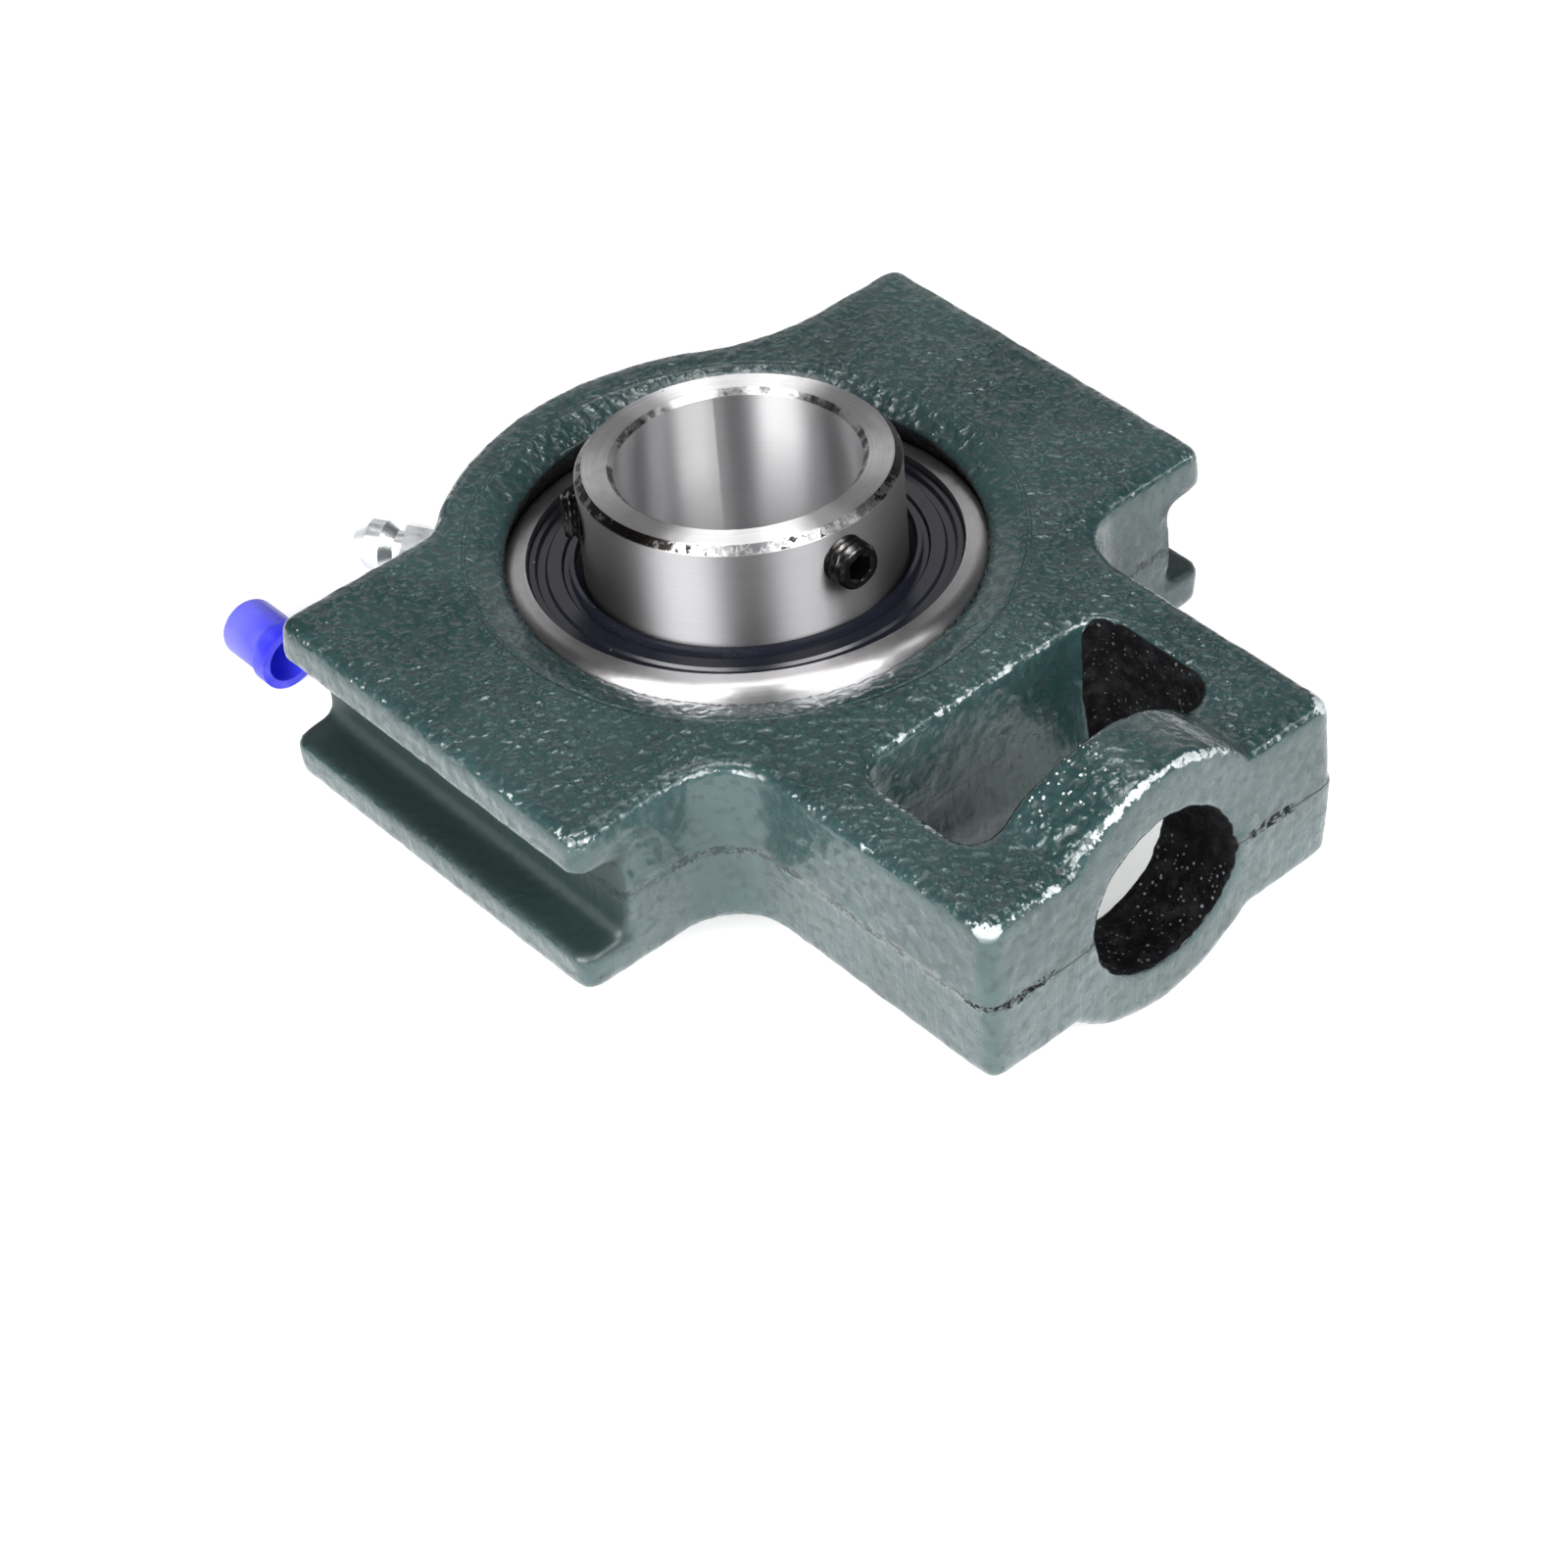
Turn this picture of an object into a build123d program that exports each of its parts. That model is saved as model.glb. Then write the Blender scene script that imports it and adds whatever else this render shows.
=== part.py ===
"""Take-up bearing unit for a 30 mm shaft.

A cast housing slides between two guide bars on its grooved sides, and a screw that turns in a nut in
its slot pulls it along. An insert bearing with a ball-shaped outer ring sits in the housing's round
seat, so that it lines itself up with the shaft. The origin is the centre of that seat, +X points to
the screw end, and +Z is square to the housing's flat faces, on the side of the set screw collar.
"""

import math
import os

from build123d import *

os.makedirs("parts", exist_ok=True)

# Housing casting, in millimetres and degrees
rail_span = 102.0
rail_length = 56.6
groove_span = 89.0
groove_width = 12.0
groove_mouth_width = 13.2
groove_root_radius = 1.0
groove_mouth_radius = 0.8
body_thickness = 24.0
block_width = 56.0
screw_end_reach = 71.0
round_end_radius = 39.0
casting_draft = 2.5
casting_edge_radius = 1.4
waist_radius = 7.5
shoulder_radius = 30.0
nipple_corner_radius = 3.0
rail_corner_radius = 2.5
block_corner_radius = 2.2

# Take-up screw: nut slot, hole and boss
nut_slot_start = 40.8
nut_slot_length = 18.4
nut_slot_width = 37.6
nut_slot_corner_radius = 3.5
screw_hole_radius = 11.0
boss_radius = 18.3
boss_blend_radius = 4.0

# Spherical seat in the housing
seat_clearance = 0.04
seat_half_width = 10.3
seat_lead_in = 0.3
dish_rim_width = 2.76
dish_land_width = 1.7
dish_depth = 1.0
oil_groove_height = 4.6
oil_groove_width = 3.0
oil_groove_depth = 0.9
oil_way_radius = 1.1
notch_clearance = 0.3

# Insert bearing, which stands out of square in its seat
lean_angle = 5.5
lean_heading = 151.0
bore_radius = 15.0
inner_ring_wall = 3.2
outer_ring_wall = 3.215
collar_top = 22.2
short_side = 15.9
outer_ring_width = 19.0
bore_chamfer = 0.7
collar_chamfer = 1.0
outer_ring_corner_radius = 1.7

# Balls and their cage
ball_count = 9
ball_radius = 4.7625
track_relief = 0.19
track_clearance = 0.03
inner_track_depth = 1.6
outer_track_depth = 1.9
cage_pocket_clearance = 0.15
cage_thickness = 0.7
cage_band = 3.2
rivet_radius = 0.6
rivet_head_radius = 1.0
rivet_head_height = 0.4

# Seals
seal_seat_step = 0.9
seal_seat_depth = 2.2
seal_groove_depth = 0.6
seal_groove_height = 0.6
core_gap = 2.0
seal_rim_height = 1.4
seal_web_height = 0.9
seal_ridge_height = 1.25
lip_height = 1.85
lip_clearance = 0.08
rubber_clearance = 0.05

# Set screws in the collar, M6
screw_thread_radius = 3.0
thread_clearance = 0.03
screw_length = 6.0
screw_a_inset = 1.8
screw_b_inset = 0.6
screw_a_heading = -3.0
screw_b_heading = -123.0
screw_height = 17.2
screw_socket_flats = 3.0
screw_socket_depth = 3.2
screw_cup_chamfer = 0.9
screw_end_chamfer = 0.45

# Grease nipple, M6 taper thread, at the corner of the round end
nipple_heading = -150.0
nipple_thread_radius = 3.0
nipple_thread_start = 34.5
nipple_hex_start = 41.3
nipple_hex_height = 3.8
nipple_hex_flats = 7.0
nipple_neck_radius = 2.3
nipple_head_radius = 3.25
nipple_neck_length = 1.5
nipple_cone_length = 1.6
nipple_head_width = 2.0
nipple_tip_radius = 1.5
nipple_head_length = 7.2
nipple_bore_radius = 1.3
nipple_oil_radius = 0.8
nipple_mouth_radius = 0.75
nipple_mouth_depth = 0.5
nipple_spring_shelf = 1.3
check_ball_radius = 1.1
check_ball_clearance = 0.03
spring_wire_radius = 0.16
spring_coil_radius = 0.95
spring_turns = 5

# Dust cap of the nipple, taken off and lying on the floor
cap_mouth_x = -47.2
cap_y = -37.3
cap_length = 9.9
cap_body_radius = 3.95
cap_lip_radius = 4.4
cap_lip_length = 2.2
cap_wall = 0.7
cap_end_radius = 1.3

# Sizes that follow from those above, from the bore outwards
track_radius = ball_radius + track_relief
inner_track_bottom = bore_radius + inner_ring_wall
ball_circle_radius = inner_track_bottom + track_clearance + ball_radius
outer_track_bottom = ball_circle_radius + ball_radius + track_clearance
insert_sphere_radius = outer_track_bottom + outer_ring_wall
inner_ring_radius = inner_track_bottom + inner_track_depth
outer_land_radius = outer_track_bottom - outer_track_depth
seal_seat_radius = outer_land_radius + seal_seat_step
seal_groove_radius = seal_seat_radius + seal_groove_depth
core_inner_radius = inner_ring_radius + core_gap
ring_half = outer_ring_width / 2
ring_face_radius = math.sqrt(insert_sphere_radius**2 - ring_half**2)
screw_a_tip_radius = bore_radius + screw_a_inset
screw_b_tip_radius = bore_radius + screw_b_inset

# Sizes of the housing that follow
half_thickness = body_thickness / 2
seat_radius = insert_sphere_radius + seat_clearance
seat_edge_radius = math.sqrt(seat_radius**2 - seat_half_width**2)
lead_in_top = seat_half_width + seat_lead_in
dish_radius = seat_radius + dish_rim_width
dish_floor_radius = seat_edge_radius + dish_land_width
dish_floor = half_thickness - dish_depth
nut_slot_end = nut_slot_start + nut_slot_length
floor_height = -boss_radius

# The insert's own frame: its z axis is the shaft's axis, its x axis dips towards the heading of the lean
heading = math.radians(lean_heading)
lean = math.radians(lean_angle)
lean_direction = Vector(math.cos(heading), math.sin(heading), 0)
shaft_direction = lean_direction * math.sin(lean) + Vector(0, 0, math.cos(lean))
dip_direction = lean_direction * math.cos(lean) - Vector(0, 0, math.sin(lean))
insert_plane = Plane(origin=(0, 0, 0), x_dir=dip_direction, z_dir=shaft_direction)
insert_section = Plane(origin=(0, 0, 0), x_dir=dip_direction, z_dir=-insert_plane.y_dir)
shaft_axis = Axis((0, 0, 0), shaft_direction)


def same(first, second):
    """Whether two lengths are equal but for rounding."""
    return abs(first - second) < 1e-4


def half_chord(radius, offset):
    """Half the width of a circle at a distance from its centre."""
    return math.sqrt(radius**2 - offset**2)


def rim_edges(part, side_faces):
    """The edges where drafted side walls meet any other face."""
    return ShapeList(
        edge
        for edge in part.edges()
        if sum(edge in face.edges() for face in side_faces) == 1
    )


def drafted_faces(part):
    """The side walls that the pattern's draft leans over."""
    lean_of_wall = math.sin(math.radians(casting_draft))
    return part.faces().filter_by(lambda face: abs(abs(face.normal_at().Z) - lean_of_wall) < 1e-3)


# Height of the casting along its length: a flat slab that swells into the screw boss
with BuildPart() as casting_height:
    Box(2 * screw_end_reach + 2, rail_span + 2, body_thickness)
    with BuildSketch(Plane.YZ.offset(nut_slot_start + 2)) as boss_profile:
        Rectangle(block_width * 0.8, body_thickness)
        Circle(boss_radius)
        hollow_corners = boss_profile.vertices().filter_by(
            lambda corner: same(math.hypot(corner.Y, corner.Z), boss_radius)
        )
        fillet(hollow_corners, boss_blend_radius)
    extrude(amount=screw_end_reach)

# Housing
with BuildPart() as housing:
    with BuildSketch() as outline:
        Circle(round_end_radius)
        with Locations((round_end_radius, 0)):
            Rectangle(2 * round_end_radius, 2 * round_end_radius, mode=Mode.SUBTRACT)
        Rectangle(rail_length, rail_span)
        with Locations((screw_end_reach / 2, 0)):
            Rectangle(screw_end_reach, block_width)
        waists = outline.vertices().filter_by(
            lambda v: same(v.X, rail_length / 2) and abs(v.Y) < round_end_radius
        )
        fillet(waists, waist_radius)
        shoulder = outline.vertices().filter_by(
            lambda v: same(v.X, -rail_length / 2) and 0 < v.Y < round_end_radius
        )
        fillet(shoulder, shoulder_radius)
        nipple_corner = outline.vertices().filter_by(
            lambda v: same(v.X, -rail_length / 2) and -round_end_radius < v.Y < 0
        )
        fillet(nipple_corner, nipple_corner_radius)
        rail_corners = outline.vertices().filter_by(lambda v: same(abs(v.Y), rail_span / 2))
        fillet(rail_corners, rail_corner_radius)
        block_corners = outline.vertices().filter_by(lambda v: same(v.X, screw_end_reach))
        fillet(block_corners, block_corner_radius)
    extrude(amount=boss_radius + 1, both=True, taper=casting_draft)
    add(casting_height.part, mode=Mode.INTERSECT)
    fillet(rim_edges(housing, drafted_faces(housing)), casting_edge_radius)

    # Guide grooves, open along both rails
    with BuildSketch(Plane.YZ) as grooves:
        for side in (1, -1):
            with BuildLine():
                Polyline(
                    (side * groove_span / 2, groove_width / 2),
                    (side * rail_span / 2, groove_mouth_width / 2),
                    (side * rail_span, groove_mouth_width / 2),
                    (side * rail_span, -groove_mouth_width / 2),
                    (side * rail_span / 2, -groove_mouth_width / 2),
                    (side * groove_span / 2, -groove_width / 2),
                    close=True,
                )
            make_face()
        root_corners = grooves.vertices().filter_by(lambda v: same(abs(v.Y), groove_span / 2))
        fillet(root_corners, groove_root_radius)
    extrude(amount=rail_length, both=True, mode=Mode.SUBTRACT)
    groove_mouths = housing.edges().filter_by(Axis.X).filter_by(
        lambda edge: rail_span / 2 - 1 < abs(edge.center().Y) < rail_span / 2
        and abs(edge.center().Z) < groove_mouth_width / 2 + 0.1
    )
    fillet(groove_mouths, groove_mouth_radius)

    # Nut slot, drafted both ways from the parting plane, and the screw's hole through the end wall
    with BuildSketch():
        with Locations((nut_slot_start + nut_slot_length / 2, 0)):
            RectangleRounded(nut_slot_length, nut_slot_width, nut_slot_corner_radius)
    extrude(amount=boss_radius + 1, both=True, taper=-casting_draft, mode=Mode.SUBTRACT)
    with BuildSketch(Plane.YZ.offset(nut_slot_end - 2)):
        Circle(screw_hole_radius)
    extrude(amount=screw_end_reach, mode=Mode.SUBTRACT)

    # Seat: a shallow dish in each face, a lead-in and the machined ball-shaped wall
    with BuildSketch(Plane.XZ):
        with BuildLine():
            Polyline(
                (0, boss_radius),
                (dish_radius, boss_radius),
                (dish_radius, half_thickness),
                (dish_floor_radius, dish_floor),
                (seat_edge_radius + seat_lead_in, lead_in_top),
                (seat_edge_radius, seat_half_width),
            )
            ThreePointArc(
                (seat_edge_radius, seat_half_width), (seat_radius, 0), (seat_edge_radius, -seat_half_width)
            )
            Polyline(
                (seat_edge_radius, -seat_half_width),
                (seat_edge_radius + seat_lead_in, -lead_in_top),
                (dish_floor_radius, -dish_floor),
                (dish_radius, -half_thickness),
                (dish_radius, -boss_radius),
                (0, -boss_radius),
                (0, boss_radius),
            )
        make_face()
    revolve(axis=Axis.Z, mode=Mode.SUBTRACT)

    # Two loading notches in the far face, through which the insert is turned into its seat
    with BuildSketch():
        Rectangle(outer_ring_width + 2 * notch_clearance, 3 * seat_radius)
        Circle(seat_radius, mode=Mode.INTERSECT)
    extrude(amount=-boss_radius, mode=Mode.SUBTRACT)

    # Oil groove round the seat, fed from the nipple's hole by a slanting drilled way
    with BuildSketch(Plane.XZ):
        with Locations((seat_radius - 1, oil_groove_height)):
            Rectangle(2 * (1 + oil_groove_depth), oil_groove_width)
    revolve(axis=Axis.Z, mode=Mode.SUBTRACT)
    nipple_angle = math.radians(nipple_heading)
    nipple_direction = Vector(math.cos(nipple_angle), math.sin(nipple_angle), 0)
    nipple_plane = Plane(origin=(0, 0, 0), x_dir=(0, 0, 1), z_dir=nipple_direction)
    with BuildSketch(nipple_plane.offset(nipple_thread_start)):
        Circle(nipple_thread_radius)
    extrude(amount=round_end_radius, mode=Mode.SUBTRACT)
    way_start = nipple_direction * (nipple_thread_start + 0.5)
    way_end = nipple_direction * seat_radius + Vector(0, 0, oil_groove_height)
    with BuildSketch(Plane(origin=way_start, z_dir=way_end - way_start)):
        Circle(oil_way_radius)
    extrude(amount=(way_end - way_start).length, mode=Mode.SUBTRACT)

housing.part.label = "housing"
export_step(housing.part, "parts/housing.step")

# Outer ring of the insert: ball-shaped outside, ball track and a stepped seat for each seal
seal_shelf = ring_half - seal_seat_depth - seal_groove_height
outer_track_centre = outer_track_bottom - track_radius
outer_track_half = half_chord(track_radius, outer_land_radius - outer_track_centre)
with BuildPart() as outer_ring:
    with BuildSketch(insert_section) as ring_section:
        with BuildLine():
            ThreePointArc(
                (ring_face_radius, ring_half), (insert_sphere_radius, 0), (ring_face_radius, -ring_half)
            )
            Polyline(
                (ring_face_radius, -ring_half),
                (seal_seat_radius, -ring_half),
                (seal_seat_radius, -ring_half + seal_seat_depth),
                (seal_groove_radius, -ring_half + seal_seat_depth),
                (seal_groove_radius, -seal_shelf),
                (outer_land_radius, -seal_shelf),
                (outer_land_radius, -outer_track_half),
            )
            ThreePointArc(
                (outer_land_radius, -outer_track_half),
                (outer_track_bottom, 0),
                (outer_land_radius, outer_track_half),
            )
            Polyline(
                (outer_land_radius, outer_track_half),
                (outer_land_radius, seal_shelf),
                (seal_groove_radius, seal_shelf),
                (seal_groove_radius, ring_half - seal_seat_depth),
                (seal_seat_radius, ring_half - seal_seat_depth),
                (seal_seat_radius, ring_half),
                (ring_face_radius, ring_half),
            )
        make_face()
    revolve(axis=shaft_axis)
    face_rims = outer_ring.edges().filter_by(GeomType.CIRCLE).filter_by(
        lambda rim: same(rim.radius, ring_face_radius)
    )
    fillet(face_rims, outer_ring_corner_radius)
    for turn in (0, 180):
        oil_hole_direction = insert_plane.x_dir.rotate(shaft_axis, turn)
        oil_hole_start = insert_plane.from_local_coords((0, 0, oil_groove_height))
        with BuildSketch(Plane(origin=oil_hole_start, z_dir=oil_hole_direction)):
            Circle(nipple_oil_radius)
        extrude(amount=2 * ball_circle_radius, mode=Mode.SUBTRACT)
outer_ring.part.label = "outer_ring"
export_step(outer_ring.part, "parts/outer_ring.step")

# Inner ring, whose longer side is the collar with the two tapped holes
screw_level = insert_plane.from_local_coords((0, 0, screw_height))
screw_a_direction = insert_plane.x_dir.rotate(shaft_axis, screw_a_heading - lean_heading)
screw_b_direction = insert_plane.x_dir.rotate(shaft_axis, screw_b_heading - lean_heading)
screw_a_plane = Plane(origin=screw_level, x_dir=shaft_direction, z_dir=screw_a_direction)
screw_b_plane = Plane(origin=screw_level, x_dir=shaft_direction, z_dir=screw_b_direction)
inner_track_centre = inner_track_bottom + track_radius
inner_track_half = half_chord(track_radius, inner_track_centre - inner_ring_radius)
with BuildPart() as inner_ring:
    with BuildSketch(insert_section):
        with BuildLine():
            Polyline(
                (inner_ring_radius, inner_track_half),
                (inner_ring_radius, collar_top - collar_chamfer),
                (inner_ring_radius - collar_chamfer, collar_top),
                (bore_radius + bore_chamfer, collar_top),
                (bore_radius, collar_top - bore_chamfer),
                (bore_radius, -short_side + bore_chamfer),
                (bore_radius + bore_chamfer, -short_side),
                (inner_ring_radius - bore_chamfer, -short_side),
                (inner_ring_radius, -short_side + bore_chamfer),
                (inner_ring_radius, -inner_track_half),
            )
            ThreePointArc(
                (inner_ring_radius, -inner_track_half),
                (inner_track_bottom, 0),
                (inner_ring_radius, inner_track_half),
            )
        make_face()
    revolve(axis=shaft_axis)
    for screw_plane in (screw_a_plane, screw_b_plane):
        with BuildSketch(screw_plane.offset(bore_radius / 2)):
            Circle(screw_thread_radius)
        extrude(amount=inner_ring_radius, mode=Mode.SUBTRACT)
inner_ring.part.label = "inner_ring"
export_step(inner_ring.part, "parts/inner_ring.step")

# Set screws, with a hexagon socket outside and a cup point towards the shaft
screw_a_tip = screw_a_plane.offset(screw_a_tip_radius)
screw_b_tip = screw_b_plane.offset(screw_b_tip_radius)
for letter, screw_tip in (("a", screw_a_tip), ("b", screw_b_tip)):
    with BuildPart() as set_screw:
        with BuildSketch(screw_tip):
            Circle(screw_thread_radius - thread_clearance)
        extrude(amount=screw_length)
        screw_rims = set_screw.edges().filter_by(GeomType.CIRCLE).sort_by(
            lambda rim: (rim.center() - screw_level).length
        )
        chamfer(screw_rims[0], screw_cup_chamfer)
        chamfer(screw_rims[-1], screw_end_chamfer)
        with BuildSketch(screw_tip.offset(screw_length - screw_socket_depth)):
            RegularPolygon(screw_socket_flats / 2, 6, major_radius=False)
        extrude(amount=screw_socket_depth, mode=Mode.SUBTRACT)
    set_screw.part.label = f"set_screw_{letter}"
    export_step(set_screw.part, f"parts/set_screw_{letter}.step")

# Balls, evenly spaced on the pitch circle
pitch_step = 360 / ball_count
for number in range(ball_count):
    with BuildPart(insert_plane) as ball:
        with PolarLocations(ball_circle_radius, 1, start_angle=number * pitch_step):
            Sphere(ball_radius)
    ball.part.label = f"ball_{number + 1}"
    export_step(ball.part, f"parts/ball_{number + 1}.step")

# Ribbon cage: two pressed halves that meet on the mid-plane, each with half of every ball pocket
pocket_radius = ball_radius + cage_pocket_clearance
cage_inner_radius = ball_circle_radius - cage_band / 2
cage_outer_radius = ball_circle_radius + cage_band / 2
rivet_angle = pitch_step / 2
for half, side in (("upper", 1), ("lower", -1)):
    with BuildPart(insert_plane) as cage:
        with BuildSketch(insert_plane):
            Circle(cage_outer_radius)
            Circle(cage_inner_radius, mode=Mode.SUBTRACT)
        extrude(amount=side * cage_thickness)
        with PolarLocations(ball_circle_radius, ball_count):
            Sphere(pocket_radius + cage_thickness)
        with BuildSketch(insert_plane):
            Circle(cage_outer_radius)
            Circle(cage_inner_radius, mode=Mode.SUBTRACT)
        extrude(amount=side * (pocket_radius + 2 * cage_thickness), mode=Mode.INTERSECT)
        with PolarLocations(ball_circle_radius, ball_count):
            Sphere(pocket_radius, mode=Mode.SUBTRACT)
        with PolarLocations(ball_circle_radius, ball_count, start_angle=rivet_angle):
            Cylinder(rivet_radius, 4 * cage_thickness, mode=Mode.SUBTRACT)
    cage.part.label = f"cage_{half}"
    export_step(cage.part, f"parts/cage_{half}.step")

# Rivets that hold the two halves together, one between each pair of balls
with BuildPart(insert_plane) as cage_rivets:
    with PolarLocations(ball_circle_radius, ball_count, start_angle=rivet_angle):
        Cylinder(rivet_radius, 2 * cage_thickness)
    for side in (1, -1):
        head_middle = side * (cage_thickness + rivet_head_height / 2)
        with Locations((0, 0, head_middle)):
            with PolarLocations(ball_circle_radius, ball_count, start_angle=rivet_angle):
                Cylinder(rivet_head_radius, rivet_head_height)
cage_rivets.part.label = "cage_rivets"
export_step(cage_rivets.part, "parts/cage_rivets.step")

# Seals: a steel core snapped under the outer ring's seat, and ribbed rubber that reaches the inner ring
core_top = seal_shelf + seal_groove_height
lip_radius = inner_ring_radius + lip_clearance
rubber_inside = core_inner_radius - rubber_clearance
rubber_outside = seal_seat_radius - rubber_clearance
rubber_face = rubber_outside - core_inner_radius
lip_reach = core_inner_radius - lip_radius
for place, side in (("top", 1), ("bottom", -1)):
    with BuildPart() as seal_core:
        with BuildSketch(insert_section):
            with BuildLine():
                Polyline(
                    (core_inner_radius, side * seal_shelf),
                    (seal_groove_radius - rubber_clearance, side * seal_shelf),
                    (seal_groove_radius - rubber_clearance, side * core_top),
                    (core_inner_radius, side * core_top),
                    close=True,
                )
            make_face()
        revolve(axis=shaft_axis)
    seal_core.part.label = f"seal_core_{place}"
    export_step(seal_core.part, f"parts/seal_core_{place}.step")

    with BuildPart() as seal_rubber:
        with BuildSketch(insert_section):
            with BuildLine():
                Polyline(
                    (rubber_outside, side * core_top),
                    (rubber_outside, side * (core_top + 0.8 * seal_rim_height)),
                    (rubber_outside - 0.07 * rubber_face, side * (core_top + seal_rim_height)),
                    (rubber_outside - 0.2 * rubber_face, side * (core_top + seal_rim_height)),
                    (rubber_outside - 0.27 * rubber_face, side * (core_top + seal_web_height)),
                    (core_inner_radius + 0.55 * rubber_face, side * (core_top + seal_web_height)),
                    (core_inner_radius + 0.49 * rubber_face, side * (core_top + seal_ridge_height)),
                    (core_inner_radius + 0.14 * rubber_face, side * (core_top + seal_ridge_height)),
                    (core_inner_radius + 0.08 * rubber_face, side * (core_top + seal_web_height)),
                    (core_inner_radius - 0.1 * lip_reach, side * (core_top + seal_web_height)),
                    (core_inner_radius - 0.2 * lip_reach, side * (core_top + lip_height)),
                    (core_inner_radius - 0.47 * lip_reach, side * (core_top + lip_height)),
                    (core_inner_radius - 0.6 * lip_reach, side * (core_top + seal_web_height)),
                    (lip_radius, side * (core_top + 0.6 * seal_web_height)),
                    (lip_radius, side * (core_top + 0.2 * seal_web_height)),
                    (core_inner_radius - 0.47 * lip_reach, side * seal_shelf),
                    (rubber_inside, side * seal_shelf),
                    (rubber_inside, side * core_top),
                    close=True,
                )
            make_face()
        revolve(axis=shaft_axis)
    seal_rubber.part.label = f"seal_rubber_{place}"
    export_step(seal_rubber.part, f"parts/seal_rubber_{place}.step")

# Grease nipple body: taper thread, hexagon, neck and head, bored through for the check ball
nipple_section = Plane(origin=(0, 0, 0), x_dir=nipple_direction, z_dir=nipple_plane.y_dir)
nipple_axis = Axis((0, 0, 0), nipple_direction)
hex_end = nipple_hex_start + nipple_hex_height
neck_end = hex_end + nipple_neck_length
head_start = neck_end + nipple_cone_length
nipple_tip = hex_end + nipple_head_length
mouth_floor = nipple_tip - nipple_mouth_depth
spring_shelf = hex_end + nipple_spring_shelf
with BuildPart() as grease_nipple:
    with BuildSketch(nipple_section):
        with BuildLine():
            Polyline(
                (nipple_thread_start, nipple_oil_radius),
                (nipple_thread_start, nipple_thread_radius - thread_clearance - 0.4),
                (nipple_thread_start + 0.5, nipple_thread_radius - thread_clearance),
                (nipple_hex_start, nipple_thread_radius - thread_clearance),
                (hex_end, nipple_thread_radius - thread_clearance),
                (hex_end, nipple_neck_radius),
                (neck_end, nipple_neck_radius),
                (head_start, nipple_head_radius),
                (head_start + nipple_head_width, nipple_head_radius),
                (nipple_tip, nipple_tip_radius),
                (nipple_tip, nipple_mouth_radius),
                (mouth_floor, nipple_mouth_radius),
                (mouth_floor, nipple_bore_radius),
                (spring_shelf, nipple_bore_radius),
                (spring_shelf, nipple_oil_radius),
                close=True,
            )
        make_face()
    revolve(axis=nipple_axis)
    with BuildSketch(nipple_plane.offset(nipple_hex_start)):
        RegularPolygon(nipple_hex_flats / 2, 6, major_radius=False)
        Circle(nipple_neck_radius, mode=Mode.SUBTRACT)
    extrude(amount=nipple_hex_height)
grease_nipple.part.label = "grease_nipple"
export_step(grease_nipple.part, "parts/grease_nipple.step")

# Check ball that closes the nipple's mouth
ball_seat_reach = half_chord(check_ball_radius + check_ball_clearance, nipple_mouth_radius)
check_ball_place = mouth_floor - ball_seat_reach
with BuildPart(nipple_plane.offset(check_ball_place)) as nipple_ball:
    Sphere(check_ball_radius)
nipple_ball.part.label = "nipple_ball"
export_step(nipple_ball.part, "parts/nipple_ball.step")

# Spring between the shelf in the nipple's bore and the check ball
spring_front = check_ball_place - half_chord(check_ball_radius, spring_coil_radius)
spring_length = spring_front - spring_shelf - 2.4 * spring_wire_radius
with BuildPart() as nipple_spring:
    with BuildLine(nipple_plane.offset(spring_shelf + 1.1 * spring_wire_radius)) as coil:
        Helix(spring_length / spring_turns, spring_length, spring_coil_radius, direction=nipple_direction)
    with BuildSketch(Plane(origin=coil.line @ 0, z_dir=coil.line % 0)):
        Circle(spring_wire_radius)
    sweep(path=coil.line, is_frenet=True)
nipple_spring.part.label = "nipple_spring"
export_step(nipple_spring.part, "parts/nipple_spring.step")

# Dust cap: a hollow moulding with a thicker lip, lying on its side with its mouth towards the housing
cap_height = floor_height + cap_lip_radius
cap_section = Plane(origin=(cap_mouth_x, cap_y, cap_height), x_dir=(-1, 0, 0), z_dir=(0, 1, 0))
with BuildPart() as nipple_cap:
    with BuildSketch(cap_section):
        with BuildLine():
            Polyline(
                (0, cap_body_radius - cap_wall),
                (0, cap_lip_radius),
                (cap_lip_length, cap_lip_radius),
                (cap_lip_length + cap_wall, cap_body_radius),
                (cap_length, cap_body_radius),
                (cap_length, 0),
                (cap_length - 2 * cap_wall, 0),
                (cap_length - 2 * cap_wall, cap_body_radius - cap_wall),
                close=True,
            )
        make_face()
    revolve(axis=Axis(cap_section.origin, cap_section.x_dir))
    end_rim = nipple_cap.edges().filter_by(GeomType.CIRCLE).sort_by(Axis.X)[0]
    fillet(end_rim, cap_end_radius)
nipple_cap.part.label = "nipple_cap"
export_step(nipple_cap.part, "parts/nipple_cap.step")
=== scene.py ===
# %% [markdown]
# # A take-up bearing unit
# The unit is a green enamelled iron casting with a steel insert bearing in the middle. The packed
# model brings every solid in its true place, in metres. This script adds what the solids lack: the
# skin of the casting, the grinding marks of the steel, the moulded rings of the seal, the threads
# of the set screws, and a small studio.

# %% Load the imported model
import math

import bmesh
import bpy
import numpy as np
from mathutils import Matrix, Quaternion, Vector, noise


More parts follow.
